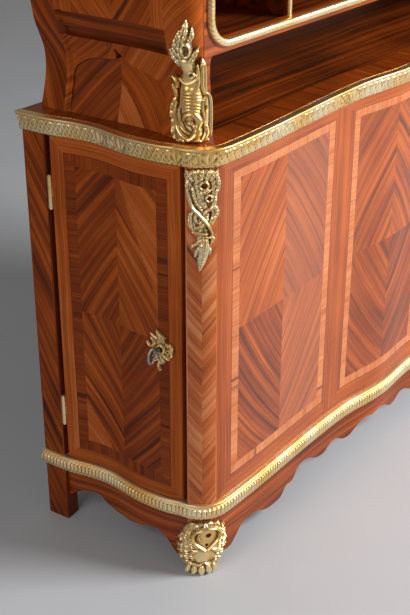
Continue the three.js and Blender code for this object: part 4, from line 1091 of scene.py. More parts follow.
def make_walls():
    """End walls: bellied, with an arch cut at the foot, a groove over it and an upright channel behind."""
    start = upper.at_x(UPPER_HALF)
    groove = (PIGEON + GROOVE_LIFT, PIGEON + GROOVE_LIFT + GROOVE_TALL)
    depth_runs = [upper.at_y(y) for y in (GROOVE[0], *CHANNEL, 0.104, 0.252)]
    box = (start, upper.back, BASE_TOP + SEAT, UPPER_TOP - SEAT)
    lip = 0.0016
    levels = [box[2], groove[0], groove[0] + lip, groove[1] - lip, groove[1], box[3]]
    s, z = grid([start, *depth_runs, upper.back], levels, sizes().wall_step)
    inside = signed_distance(np.c_[upper.depth(s).ravel(), z.ravel()], arch_line()).reshape(s.shape)
    kept, s, z, _ = fitted(s, z, inside)
    y = upper.depth(s)
    sink = GROOVE_SINK * dip(z, *groove, lip) * dip(y, *GROOVE, 0.004)
    sink = np.maximum(sink, CHANNEL_SINK * dip(y, *CHANNEL, 0.0025))
    leaves = Leaves(s, z)
    runs = [upper.at_y(v) for v in (0.079, 0.286)]
    leaves.lay(leaves.box(0, 2, 0, 2), -50, (0.55, 0.0, 0.6), lane=0.9)
    leaves.lay(leaves.box(upper.at_y(0.2), 2, 0, groove[0]), -35, (0.48, 0.0, 0.7), lane=1.7)
    panel = (runs[0], runs[1], groove[1] + 0.001, box[3])
    field = leaves.border(panel, (0.025, 0.034, 0.022, 0.030), False, (0.6, 0.0, 0.45), 2.6)
    leaves.folded(field, 57, ((0.52, 0.0, 0.7), (0.5, 0, 0.7), (0.44, 0, 0.7), (0.48, 0, 0.7)), lane=9.1)
    leaves.lay(leaves.box(*runs, groove[1], groove[1] + 0.022), 0, (0.34, 0.0, 0.3), lane=6.6)
    # The groove is painted darkest (lightness 0.2): painted shade in the groove.
    leaves.lay(leaves.box(*runs, *groove), 0, (0.2, 0.0, 0.2), lane=6.6)
    leaves.lay(leaves.box(start, runs[0], groove[1], 2), -50, (0.6, 0.0, 0.6), lane=1.1)
    leaves.lay(leaves.box(runs[1], upper.back, 0, 2), 62, (0.42, 0.0, 0.8), lane=3.3)
    normal_x = -np.interp(s, upper.runs, upper.normal[:, 0])
    x = -np.interp(s, upper.runs, upper.line[:, 0])
    flat = np.where(normal_x > 1e-3, (x - UPPER_HALF) / np.maximum(normal_x, 1e-3), WALL_FRONT)
    thick = np.minimum(WALL, np.maximum(flat, 0.0006))
    thick = np.where(s <= start + 1e-4, WALL_FRONT, thick)
    thick = np.where(upper.facing(s) < 0.5, np.maximum(thick, 0.004), thick)
    back = upper.place(s, z, -thick).reshape(-1, 3)
    used = np.unique(cells(*s.shape)[kept.ravel()])
    form = veneered(s, z, lambda a, b: on_wall(a, b, -sink), leaves, kept).thickened(back[used])
    put_pair("upper_end_wall_face", form, finish("side"), nodes=["upper_end_wall"])
    put_pair("upper_recessed_panel_face", recessed_panel(), finish("side"), nodes=["upper_recessed_panel"])


def recessed_panel():
    """A board behind the wall, and on it a raised field that fills the arch to just under the wall's face."""
    ends = [upper.at_y(v) for v in (ARCH_FRONT - RECESS_LAP, ARCH_FRONT + ARCH_WIDE + RECESS_LAP)]
    middle = sum(ends) / 2
    s, z = grid([*ends, middle], [BASE_TOP + SEAT, PIGEON - SEAT], sizes().wall_step)
    inside = -signed_distance(np.c_[upper.depth(s).ravel(), z.ravel()], field_line()).reshape(s.shape)
    plain = Leaves(s, z)
    board = veneered(s, z, lambda a, b: upper.place(a, b, -WALL - SEAT), plain)
    board = board.thickened(upper.place(s, z, -WALL - SEAT - RECESS).reshape(-1, 3))
    kept, s, z, _ = fitted(s, z, inside)
    leaves = Leaves(s, z)
    box = (ends[0], ends[1], 0, 2)
    leaves.folded(box, 50, ((0.52, 0, 0.55), (0.4, 0.05, 0.7)) * 2, (middle, BASE_TOP - 0.05), 8.8)
    leaves.wedge((ends[0], middle, BASE_TOP, 2), (1, -1), (0.052, 0.065), (0.7, 0, 0.35))
    used = np.unique(cells(*s.shape)[kept.ravel()])
    back = upper.place(s, z, -WALL - SEAT - RECESS / 2).reshape(-1, 3)
    field = veneered(s, z, lambda a, b: on_wall(a, b, -FIELD_SUNK), leaves, kept).thickened(back[used])
    return joined(board, field)


# Gilt mouldings

def moulding(outline, low, high, profile, relief, step):
    """A moulding carried along the whole outline. Its profile is a smooth curve of (out, up); the relief
    height(run, t) lies along the profile's normal."""
    section = spline(profile, sizes().profile_points)
    section[:, 1] = low + (high - low) * section[:, 1]
    tangent = np.gradient(section, axis=0)
    tangent /= np.linalg.norm(tangent, axis=1)[:, None]
    normal = np.stack([tangent[:, 1], -tangent[:, 0]], 1)
    length = np.r_[0, np.cumsum(np.linalg.norm(np.diff(section, axis=0), axis=1))]
    runs = between([-outline.back, 0, outline.back], step)
    s, t = np.meshgrid(runs, length / length[-1], indexing="ij")
    height = relief(s, t)
    face = outline.place(s, section[:, 1] + normal[:, 1] * height, section[:, 0] + normal[:, 0] * height)
    back = outline.place(s, section[:, 1], SEAT)
    form = Form(face, cells(*s.shape), patina_and_shade=cavity(height, 3, sizes().patina_strength))
    return form.thickened(back.reshape(-1, 3))


def bump_row(phase, sharp):
    """Rounded lobes with thin dark lines between: |cos(pi*phase)|^sharp."""
    return np.abs(np.cos(np.pi * phase)) ** sharp


def medallions(s, t, height):
    """Rosettes of five petals, each between two fans of gadroons, laid over a relief at chosen runs."""
    up = (t - CARVED_END / 2) * MOULDING_PROFILE
    for middle in ROSETTES:
        along = np.abs(s) - middle
        radius = np.hypot(along, up)
        petals = 0.35 + 0.65 * np.abs(np.cos(2.5 * np.arctan2(up, along))) ** 0.7
        dome = np.sqrt(np.clip(1 - (radius / ROSETTE) ** 2, 0, 1))
        flower = PETAL_LIFT * petals * dome + STUD_LIFT * np.exp(-(radius / STUD) ** 2)
        height = np.maximum(height * ease(np.clip(radius / ROSETTE - 0.35, 0, 1)), flower)
        for side in (-1, 1):
            across = along - side * 2.2 * ROSETTE
            reach = np.hypot(across, up + ROSETTE * 1.2) / ROSETTE
            lobe = np.abs(np.cos(5 * np.arctan2(up + ROSETTE * 1.2, across)))
            shell = np.sqrt(np.clip(1 - (reach / 2.3) ** 4, 0, 1))
            fan = FAN_LIFT * lobe**0.7 * shell * np.clip(reach, 0.2, 1)
            inside = ease(np.clip((1.15 - np.abs(across) / ROSETTE) / 0.3, 0, 1))
            height = height * (1 - inside) + fan * inside
    return height


def top_relief(s, t):
    """Slanting leaf ribs that cross in lozenges, each with a veined dome, over a row of beads."""
    run = np.abs(s) / sizes().leaf_pitch
    rise, fall = run + 1.7 * t, run - 1.7 * t
    cross = bump_row(rise, 1) * bump_row(fall, 1)
    rib = np.maximum(bump_row(rise + 0.5, 1), bump_row(fall + 0.5, 1)) ** 8
    vein = 0.65 + 0.35 * bump_row(3 * rise, 1)
    carved = 0.0034 * np.maximum(0.9 * cross**0.5 * vein, rib)
    bead = 0.0014 * bump_row(2 * run, 0.6) * dip(t, 0.0, 0.07, 0.025)
    return np.maximum(medallions(s, t, carved) * dip(t, 0.05, CARVED_END, 0.03), bead)


def band_relief(s, t):
    """A row of upright round-headed leaves over a scalloped edge; the hollow above stays smooth."""
    run = np.abs(s) / sizes().tongue_pitch
    head = 0.10 * (1 - bump_row(run, 1))
    leaves = 0.0022 * bump_row(run, 0.8) * dip(t, 0.12, 0.66 - head, 0.1)
    scallop = 0.0013 * bump_row(run + 0.5, 0.6) * dip(t, 0.0, 0.14, 0.05)
    return np.maximum(leaves, scallop)


def make_mouldings():
    """The mouldings of the top and the foot; their profiles are rows of (out, share of the height)."""
    step = sizes().moulding_step
    top = ((0.0022, 0.0), (0.0042, 0.08), (0.0048, 0.3), (0.0064, 0.52), (0.0084, 0.7), (0.0096, 0.82),
           (0.0126, 0.875), (0.0143, 0.92), (0.0145, 0.99), (0.0125, 1.02), (0.006, 1.015), (0.0006, 1.01))
    form = moulding(base, CASE_TOP + SEAT, BASE_TOP, top, top_relief, step)
    put("top_edge_moulding_face", form, finish("gilt"), CABINET, ["top_edge_moulding"], GILT_CREASE)
    band = ((0.0070, 0.0), (0.0080, 0.12), (0.0084, 0.3), (0.0082, 0.48), (0.0078, 0.6), (0.0052, 0.7),
            (0.0048, 0.82), (0.0056, 0.94), (0.0006, 1.0))
    form = moulding(base, LEG, CASE_LOW, band, band_relief, step)
    put("band_moulding_face", form, finish("gilt"), CABINET, ["band_moulding"], GILT_CREASE)


# Cast mounts

class Casting:
    """A cast mount drawn flat: strokes raise its height, and its outline is where the strokes end.

    Places are in the drawing's own units, x to the right and y down. The sheet gives its middle, foot,
    width and height in those units, and how far the middle leans over that height."""

    def __init__(self, width, height, sheet, cell):
        self.x, self.y = np.meshgrid(between([-width * 0.62, width * 0.62], cell), between([0, height], cell),
                                     indexing="ij")
        self.inside = np.full(self.x.shape, -1.0)
        self.height = np.zeros(self.x.shape)
        self.size = (width, height)
        self.sheet = sheet

    def spot(self, x, y):
        """x = width * (x - middle - lean * up) / wide, y = height * up, where up = (foot - y) / tall."""
        middle, foot, wide, tall, lean = self.sheet
        up = (foot - np.asarray(y, float)) / tall
        return np.stack([self.size[0] * (x - middle - lean * up) / wide, self.size[1] * up], -1)

    def stroke(self, points, widths, lift, ribs=0.0, pitch=0.006, midrib=0.0, serrated=0.0, slant=0.8):
        """A swept form: inside = max(w - d), height = lift*sqrt(1 - (d/w)^2), with ribs slanting off its
        midrib. widths are half widths in metres along it."""
        path = spline(self.spot(*np.array(points, float).T), 72)
        t = np.linspace(0, 1, len(path))
        w = np.interp(t, np.linspace(0, 1, len(widths)), widths)
        along = np.r_[0, np.cumsum(np.linalg.norm(np.diff(path, axis=0), axis=1))]
        w = w * (1 - serrated * np.abs(np.cos(np.pi * along / pitch)))
        turn = np.gradient(path, axis=0)
        turn /= np.maximum(np.linalg.norm(turn, axis=1)[:, None], 1e-9)
        dx = self.x[..., None] - path[:, 0]
        dy = self.y[..., None] - path[:, 1]
        d = np.hypot(dx, dy)
        k = (w - d).argmax(-1)

        def pick(a):
            return np.take_along_axis(a, k[..., None], -1)[..., 0]

        near, wide = pick(d), w[k]
        side = pick(dx) * turn[k, 1] - pick(dy) * turn[k, 0]
        q = np.clip(near / np.maximum(wide, 1e-6), 0, 1)
        up = lift * np.sqrt(1 - q * q) * np.minimum(1, 0.35 + wide / max(widths))
        if ribs:
            up = up * (1 - ribs * (1 - np.abs(np.sin(np.pi * (along[k] - slant * np.abs(side)) / pitch))))
        if midrib:
            up = up * (1 - midrib * np.exp(-(side / (0.16 * np.maximum(wide, 1e-6))) ** 2))
        within = wide - near
        self.height = np.where(within > 0, np.maximum(self.height, up), self.height)
        self.inside = np.maximum(self.inside, within)

    def ball(self, x, y, radius, lift):
        self.stroke([(x, y), (x + 0.1, y)], [radius, radius], lift)

    def around(self, x, y, stretch=1.0):
        """Every point's distance from a place, with upright distances divided by a stretch."""
        at_x, at_y = self.spot(x, y)
        return np.hypot(self.x - at_x, (self.y - at_y) / stretch)

    def ring(self, x, y, radius, wide, lift, stretch=1.0):
        """A raised ring: height = lift*sqrt(1 - ((r - radius)/wide)^2)."""
        within = wide - np.abs(self.around(x, y, stretch) - radius)
        up = lift * np.sqrt(np.clip(1 - (1 - within / wide) ** 2, 0, 1))
        self.height = np.where(within > 0, np.maximum(self.height, up), self.height)
        self.inside = np.maximum(self.inside, within)

    def dish(self, x, y, radius, level, stretch=1.0):
        """Hollows a round place down to a level at its middle."""
        r = self.around(x, y, stretch)
        hollow = level + (self.height - level) * ease(np.clip(r / radius, 0, 1))
        self.height = np.where(r < radius, np.minimum(self.height, hollow), self.height)

    def hole(self, x, y, radius, stretch=1.0):
        """Pierces a round or upright oval hole."""
        self.inside = np.minimum(self.inside, self.around(x, y, stretch) - radius)

    def form(self, place, edge, top):
        """The closed form of the casting on a surface: place(x, y, out), never higher than top."""
        height = np.minimum(blurred(self.height, 1) + edge, top)
        kept, x, y, rim = fitted(self.x, self.y, self.inside)
        height = np.where(rim, edge * 0.8, height)
        # Low ground between the strokes gets more umber: painted shade, added to the patina of the hollows.
        low = np.clip(1 - (height - edge) / (0.35 * top), 0, 1)
        patina_and_shade = np.clip(cavity(height, 6, sizes().patina_strength) + 0.3 * low, 0, 1)
        quads = cells(*x.shape)[kept.ravel()]
        used = np.unique(quads)
        form = Form(place(x, y, height), quads, patina_and_shade=patina_and_shade).trimmed()
        return form.thickened(place(x, y, np.full(x.shape, -0.0002)).reshape(-1, 3)[used])


def ridge(*widths, lift):
    """A smooth round stroke; widths and lift are in millimetres."""
    return {"widths": [w * 0.001 for w in widths], "lift": lift * 0.001}


def leaf(*widths, lift, pitch=5.0):
    """A ribbed, saw-edged stroke with a sunk midrib; widths, lift and pitch are in millimetres."""
    return {**ridge(*widths, lift=lift), "ribs": 0.3, "midrib": 0.35, "pitch": pitch * 0.001,
            "serrated": 0.14}


def ground(*widths, lift):
    """A low leafy plate that carries the other strokes; widths and lift are in millimetres."""
    return {**ridge(*widths, lift=lift), "ribs": 0.4, "midrib": 0.25, "pitch": 0.0085}


def draw(casting, rows):
    """A casting's strokes: each row is a stroke's settings, then its places."""
    for settings, *points in rows:
        casting.stroke(points, **settings)


def chute_casting():
    """The base's corner mount: crossing stems, scrolled rings, sprays and a hanging leaf, pierced."""
    c = Casting(*CHUTE_SIZE, (330, 1490, 480, 1390, 0), sizes().cell)
    draw(c, (
        (ground(7, 9, 7, lift=3.6), (130, 190), (330, 170), (530, 195)),
        (ground(5, 5, 5, 5, lift=3.4), (135, 250), (150, 400), (215, 560), (270, 700)),
        (ground(9, 9, 8, 8, 7, lift=3.8), (320, 200), (300, 330), (310, 520), (360, 700), (330, 850)),
        (ground(6, 5, 5, 5, 4, lift=3.6), (520, 230), (520, 420), (500, 600), (520, 720), (440, 860)),
        (ground(4, 5, 6, 8, lift=3.4), (210, 720), (200, 850), (280, 930), (370, 960)),
        (ground(8, 9, 9, 5, 1, lift=4.0), (350, 940), (330, 1100), (330, 1250), (305, 1400), (291, 1480)),
        (leaf(3.4, 4.2, 1.4, lift=5.6), (300, 420), (380, 400), (470, 372)),
        (leaf(3, 4, 1.4, lift=5.4), (330, 560), (290, 480), (275, 380)),
        (leaf(3, 4, 1.2, lift=5.6), (330, 860), (390, 800), (405, 720)),
        (leaf(3, 3.6, 1.2, lift=5.4), (130, 260), (112, 320), (120, 385)),
        (leaf(3, 4.6, 1.6, lift=5.6), (200, 250), (150, 175), (98, 125)),
        (leaf(3, 4.6, 1.6, lift=6), (255, 250), (235, 165), (212, 112)),
        (leaf(3, 4.6, 1.6, lift=6.2), (320, 250), (325, 155), (335, 103)),
        (leaf(3, 4.6, 1.6, lift=6), (390, 250), (425, 165), (448, 114)),
        (leaf(3, 4.6, 1.6, lift=5.6), (460, 250), (520, 170), (560, 126)),
        (leaf(2.5, 4.2, 4.2, 1.4, lift=6.5), (520, 175), (566, 260), (570, 350), (520, 430)),
        (leaf(2.6, 4.4, 4.2, 1.2, lift=6.5), (470, 590), (532, 625), (550, 710), (480, 772)),
        (leaf(2, 4.4, 4.2, 1.4, lift=6.5), (215, 640), (160, 720), (165, 830), (205, 905)),
        (leaf(2, 3.4, 1.2, lift=5.5), (250, 640), (236, 740), (285, 850)),
        (leaf(3, 4, 2, lift=6.2), (200, 340), (232, 480), (330, 650)),
        (leaf(5, 8, 8, 4.5, 0.8, lift=7.5), (370, 1020), (365, 1140), (340, 1270), (308, 1400), (290, 1486)),
        (leaf(3.4, 3.8, 1, lift=6), (300, 1140), (246, 1210), (228, 1285)),
        (leaf(3.4, 3.8, 1, lift=6), (395, 1120), (436, 1180), (442, 1255)),
        (leaf(3, 3.4, 0.9, lift=6), (262, 1088), (204, 1118), (172, 1166)),
        (leaf(2.4, 3.6, 1, lift=6), (420, 1000), (486, 1030), (452, 1105)),
        (ridge(2.6, 3, 2.8, 1.6, lift=7), (520, 500), (470, 600), (385, 650), (345, 700)),
        (ridge(2.2, 3, 2.4, lift=7), (200, 925), (300, 952), (400, 955)),
        (ridge(2.4, 3.2, 3.4, 3.4, 3, 2.6, 2.2, 1.8, 1.6, lift=8.6), (128, 370), (150, 470), (200, 600),
         (300, 700), (400, 820), (448, 900), (468, 962), (430, 1004), (384, 990)),
    ))
    c.ring(360, 310, 0.0058, 0.0022, 0.0074)
    c.ring(430, 480, 0.0046, 0.0019, 0.0072)
    c.ball(385, 950, 0.0028, 0.0086)
    c.ball(310, 1106, 0.0036, 0.0084)
    c.hole(360, 310, 0.0038)
    c.hole(430, 480, 0.0028)
    c.hole(432, 668, 0.0026)
    c.hole(262, 838, 0.0028)
    return c


def upper_chute_casting():
    """The case's corner mount: a flame leaf with an oval dish, a knot, a smooth barrel and a great volute."""
    c = Casting(*UPPER_CHUTE_SIZE, (392, 1450, 440, 1255, -55), sizes().cell)
    draw(c, (
        (ground(1.2, 4.5, 8, 10, 10.5, 11, 12, lift=4), (382, 205), (378, 300), (372, 400), (372, 500),
         (385, 600), (400, 690), (430, 780)),
        (ridge(12, 15, 16.5, 16, lift=8), (430, 780), (440, 900), (440, 1050), (445, 1180)),
        (ridge(20, 24, 22, lift=6), (440, 1180), (445, 1290), (460, 1390)),
        (ridge(4, 6, 6, lift=5), (590, 960), (600, 1150), (600, 1350)),
        (leaf(7, 7, 5, 1, lift=6.5, pitch=9), (360, 600), (350, 450), (372, 310), (382, 198)),
        (leaf(3, 3.6, 0.9, lift=6), (352, 420), (326, 362), (340, 290)),
        (leaf(3, 3.6, 0.9, lift=6), (336, 500), (302, 452), (298, 382)),
        (leaf(3, 3.6, 0.9, lift=6), (330, 570), (288, 515), (280, 452)),
        (leaf(4.5, 4.6, 1, lift=6.6, pitch=7), (335, 655), (286, 585), (246, 500)),
        (leaf(2.6, 3, 0.8, lift=5.6), (408, 420), (432, 350), (426, 262)),
        (leaf(4.5, 4.2, 1, lift=6.6, pitch=7), (428, 630), (458, 545), (488, 468)),
        (ridge(9, 8, 9, lift=7.4), (386, 640), (402, 700), (424, 765)),
        ({**ridge(1, 4.5, 5.6, 5.2, 3, lift=8.8), "midrib": 0.25}, (524, 585), (536, 680), (541, 780),
         (546, 870), (562, 950)),
        (ridge(1, 3, 3.4, 2, lift=8), (486, 640), (496, 740), (500, 830), (492, 905)),
        (ridge(1.8, 2.8, 2.8, 1.4, lift=9.4), (330, 792), (402, 842), (472, 806), (486, 742)),
        (ridge(1.4, 2.4, 2.8, 1.8, lift=9), (214, 796), (256, 786), (300, 830), (314, 892)),
        (ridge(1.4, 2.6, 1.6, lift=8.4), (258, 862), (286, 928), (302, 990)),
        ({**ridge(13, 15.5, 14, lift=11), "ribs": 0.2, "pitch": 0.0048, "slant": 0.25},
         (440, 920), (442, 1030), (445, 1130)),
        (leaf(2, 4, 4.6, 4.6, 4, 3, lift=8.6, pitch=12), (302, 985), (258, 1090), (248, 1165), (272, 1262),
         (286, 1340), (318, 1425)),
        (ridge(1.6, 3.4, 4.4, 4.6, 3.4, lift=11.4), (300, 1050), (302, 1190), (346, 1310), (432, 1400),
         (532, 1430)),
        (ridge(1.4, 3, 3.6, 2, lift=11.8), (350, 1080), (350, 1190), (386, 1290), (450, 1350)),
        (ridge(2, 4, 5, 5.4, 4, lift=12.8), (392, 1230), (412, 1165), (476, 1150), (520, 1230), (500, 1330)),
        (ridge(3, 6, 7, 4, lift=12.4), (470, 1250), (512, 1310), (500, 1380), (440, 1425)),
        (ridge(2, 4.6, 4, lift=10.6), (572, 1262), (588, 1352), (560, 1425)),
        (ridge(2, 3, 3.4, 3.6, 3, lift=9.4), (562, 940), (612, 990), (634, 1100), (641, 1250), (634, 1405)),
        (ridge(1.6, 2.4, 1.6, lift=8.4), (542, 1010), (546, 1100), (566, 1220)),
        (leaf(3, 3.6, 3, lift=8, pitch=6), (330, 1434), (470, 1440), (632, 1434)),
    ))
    c.ring(390, 500, 0.0046, 0.0017, 0.0086, stretch=2.1)
    c.dish(390, 500, 0.0036, 0.0020, stretch=2.1)
    c.ring(438, 752, 0.0038, 0.0019, 0.0096)
    c.dish(438, 752, 0.0026, 0.0045)
    c.ball(452, 1244, 0.0056, 0.0130)
    c.hole(338, 742, 0.0023, stretch=1.3)
    c.hole(580, 1118, 0.0018, stretch=3.2)
    return c


def sabot_casting():
    """The foot mount: a pear-shaped ring over a domed shell, with acanthus leaves round it and five toes."""
    c = Casting(*SABOT_SIZE, (720, 1410, 1100, 1170, 0), sizes().cell)
    draw(c, (
        (ridge(33, 40, 40, 26, lift=10.5), (700, 560), (705, 760), (705, 930), (700, 1080)),
        (leaf(4, 5.4, 2.4, lift=12.5), (590, 500), (520, 460), (440, 425)),
        (leaf(4, 5.4, 2.4, lift=12.5), (610, 430), (550, 380), (490, 335)),
        (leaf(4, 5.4, 2.4, lift=12.5), (660, 370), (620, 310), (590, 268)),
        (leaf(4, 5.4, 2.4, lift=12.5), (770, 340), (770, 300), (770, 258)),
        (leaf(4, 5.4, 2.4, lift=12.5), (940, 370), (990, 310), (1020, 268)),
        (leaf(4, 5.4, 2.4, lift=12.5), (1010, 450), (1090, 400), (1150, 360)),
        (leaf(4, 5.4, 2.4, lift=12.5), (1030, 540), (1110, 520), (1180, 490)),
        (leaf(5, 7.4, 1.4, lift=12.5, pitch=9), (600, 620), (440, 550), (292, 492)),
        (leaf(5, 8, 1.4, lift=13, pitch=9), (610, 710), (400, 650), (238, 596)),
        (leaf(5, 8.6, 1.4, lift=13.6, pitch=9), (620, 810), (390, 795), (186, 800)),
        (leaf(5, 8.6, 1.4, lift=13, pitch=9), (610, 910), (390, 920), (196, 934)),
        (leaf(5, 7.6, 1.4, lift=12.6, pitch=9), (600, 1000), (400, 1045), (240, 1062)),
        (leaf(5, 6.6, 1.4, lift=12, pitch=9), (590, 1090), (460, 1150), (350, 1190)),
        (leaf(5, 7.4, 1.4, lift=12.5, pitch=9), (980, 650), (1110, 625), (1222, 592)),
        (leaf(5, 8, 1.4, lift=13, pitch=9), (960, 760), (1110, 740), (1244, 708)),
        (leaf(5, 8, 1.4, lift=13, pitch=9), (950, 860), (1100, 856), (1222, 850)),
        (leaf(5, 7.4, 1.4, lift=12.6, pitch=9), (920, 960), (1060, 985), (1172, 1002)),
        (leaf(5, 6.4, 1.4, lift=12, pitch=9), (880, 1060), (1000, 1112), (1084, 1150)),
        (ridge(13, 17, 14, lift=14), (690, 900), (700, 980), (710, 1050)),
        (ridge(3, 6, 2.4, lift=14.6), (690, 830), (590, 860), (500, 960)),
        (ridge(3, 6, 2.4, lift=14.6), (860, 830), (930, 870), (980, 960)),
        (ridge(3.2, 3.4, 3.6, 3.6, 3.6, 3.8, 4.2, 3.8, 3.6, 3.6, 3.4, 3.4, 3.2, lift=17.5), (800, 318),
         (700, 340), (610, 405), (566, 520), (592, 640), (680, 745), (780, 826), (880, 742), (985, 640),
         (1030, 520), (985, 405), (900, 340), (800, 318)),
        (ridge(1.2, 3, 1.2, lift=14), (672, 430), (650, 525), (705, 640)),
        (ridge(1.2, 2.4, 2.6, 1.6, 2.6, 2.4, 1.2, lift=17.5), (480, 1080), (560, 1142), (645, 1162),
         (735, 1112), (812, 1150), (880, 1146), (945, 1090)),
        (ridge(5, 7, 5, lift=16), (500, 1200), (475, 1280), (470, 1330)),
        (ridge(5, 7.4, 5.4, lift=16.5), (595, 1215), (582, 1300), (578, 1352)),
        (ridge(5, 7.8, 5.8, lift=17), (702, 1220), (700, 1310), (700, 1368)),
        (ridge(5, 7.4, 5.4, lift=16.5), (810, 1215), (822, 1300), (826, 1352)),
        (ridge(5, 7, 5, lift=16), (900, 1200), (930, 1280), (938, 1325)),
    ))
    c.hole(820, 500, 0.0034)
    c.hole(785, 712, 0.0016, stretch=1.5)
    return c


def escutcheon_casting():
    """The keyhole mount: small leaves, curls and balls in a loose whirl round the keyhole."""
    c = Casting(*ESCUTCHEON_SIZE, (580, 1330, 680, 1150, 0), sizes().cell)
    draw(c, (
        (ridge(6, 10, 11, 10, 5, lift=2.2), (575, 390), (590, 560), (590, 760), (580, 950), (590, 1110)),
        (ridge(4, 5, 4, lift=2.2), (410, 480), (450, 600), (420, 700)),
        (ridge(5, 6, 5, lift=2.2), (780, 610), (820, 740), (770, 890)),
        (leaf(3, 3.4, 0.8, lift=5), (590, 430), (550, 310), (488, 250)),
        (ridge(0.9, 2.2, 2.6, 1.4, lift=5.8), (514, 186), (565, 265), (640, 325), (738, 386)),
        (leaf(1, 2.8, 2.6, lift=5.6, pitch=3), (345, 328), (420, 382), (505, 445)),
        (ridge(2, 2.6, 2.8, 2, lift=6.2), (385, 450), (452, 535), (455, 620), (405, 695)),
        (ridge(2.4, 2.2, 1.8, lift=5.6), (300, 655), (350, 695), (410, 670)),
        (ridge(1.8, 3, 3, 1.6, lift=6.6), (612, 588), (680, 645), (694, 745), (650, 872)),
        (ridge(1.6, 2.6, 1.6, lift=6.2), (565, 640), (508, 730), (530, 838)),
        (leaf(3, 4.2, 4.2, 2.2, lift=6.2), (748, 568), (832, 582), (872, 660), (842, 745)),
        (leaf(2, 3.2, 1.4, lift=5.6), (872, 740), (864, 860), (812, 942)),
        (leaf(2.6, 3.4, 1.2, lift=6), (680, 895), (755, 955), (808, 1008)),
        (leaf(3, 3.8, 1.4, lift=5.8), (600, 925), (645, 1020), (705, 1092)),
        (ridge(2.2, 3, 2, lift=6.2), (555, 1025), (600, 1078), (648, 1118)),
        (ridge(1.6, 2.4, 1.6, lift=5.6), (425, 965), (480, 895), (545, 930)),
        (ridge(2.4, 2.2, 2.8, lift=6), (572, 1105), (556, 1200), (600, 1308)),
    ))
    c.ring(788, 762, 0.0034, 0.0015, 0.0062)
    c.ring(500, 1022, 0.0032, 0.0015, 0.0058)
    balls = ((285, 600, 0.0028), (595, 1300, 0.0028), (903, 660, 0.0016), (914, 745, 0.0016),
             (880, 865, 0.0016))
    for x, y, radius in balls:
        c.ball(x, y, radius, 0.0062)
    c.hole(580, 755, KEYHOLE)
    return c


def mount_at(place, middle, low):
    """Carries a casting's flat places to a face: its x runs right along the face as seen from outside."""
    return lambda x, y, out: place(middle - x, low + y, out)


def foot_mount(run, z, out):
    """Flatter toward the front, so that the foot mount stays behind the top moulding's edge."""
    return base.place(run, z, out * (0.66 + 0.34 * base.facing(run)))


def wall_mount(run, z, out):
    """Stands clear of the hollow under the wall's belly, so a mount bridges it as a casting does."""
    reach = 0.012
    most = np.maximum.reduce([swell(run, z - reach), swell(run, z), swell(run, z + reach), np.zeros(z.shape)])
    return upper.place(run, z, out + most)


def make_mounts():
    """The cast mounts, each with the thickness of its edge and of its highest place."""
    gilt = finish("gilt")
    place = mount_at(base.place, POST_MIDDLE, CASE_TOP - 0.0015 - CHUTE_SIZE[1])
    form = chute_casting().form(place, 0.0014, 0.0115)
    put_pair("corner_chute_face", form, gilt, nodes=["corner_chute"], crease=GILT_CREASE)
    place = mount_at(foot_mount, POST_MIDDLE, 0.0005)
    form = sabot_casting().form(place, 0.0018, 0.0215)
    put_pair("sabot_face", form, gilt, nodes=["sabot"], crease=GILT_CREASE)
    place = mount_at(base.place, KEY_RUN, KEY_LEVEL - ESCUTCHEON_SIZE[1] / 2)
    form = escutcheon_casting().form(place, 0.0012, 0.0092)
    put_pair("escutcheon_face", form, gilt, DOORS, ["escutcheon"], GILT_CREASE)
    place = mount_at(wall_mount, UPPER_MIDDLE, BASE_TOP + SEAT)
    form = upper_chute_casting().form(place, 0.0016, 0.0143)
    put_pair("upper_chute_face", form, gilt, nodes=["upper_chute"], crease=GILT_CREASE)


def rounded_loop(half, low, high, radius, count):
    """A rounded rectangle in (x, z) as seen from the front, count points long, with outward normals."""
    a = np.linspace(0, math.pi / 2, 24)
    centres = ((half - radius, low + radius, -1), (half - radius, high - radius, 0),
               (-half + radius, high - radius, 1), (-half + radius, low + radius, 2))
    turns = [a + k * math.pi / 2 for *_, k in centres]
    line = np.concatenate([np.c_[x + radius * np.cos(turn), z + radius * np.sin(turn)]
                           for (x, z, _), turn in zip(centres, turns)])
    line = np.r_[line, line[:1]]
    lengths = np.r_[0, np.cumsum(np.linalg.norm(np.diff(line, axis=0), axis=1))]
    at = np.linspace(0, lengths[-1], count, endpoint=False)
    loop = np.stack([np.interp(at, lengths, c) for c in line.T], 1)
    tangent = np.roll(loop, -1, axis=0) - np.roll(loop, 1, axis=0)
    tangent /= np.linalg.norm(tangent, axis=1)[:, None]
    return loop, np.stack([tangent[:, 1], -tangent[:, 0]], 1), at


def weave(along, t):
    """Slanting leaves on a half-round: |sin(pi*(along / pitch + |t - pi/2| / slant))|."""
    return np.abs(np.sin(math.pi * (along / WEAVE_PITCH + np.abs(t - math.pi / 2) / WEAVE_SLANT)))


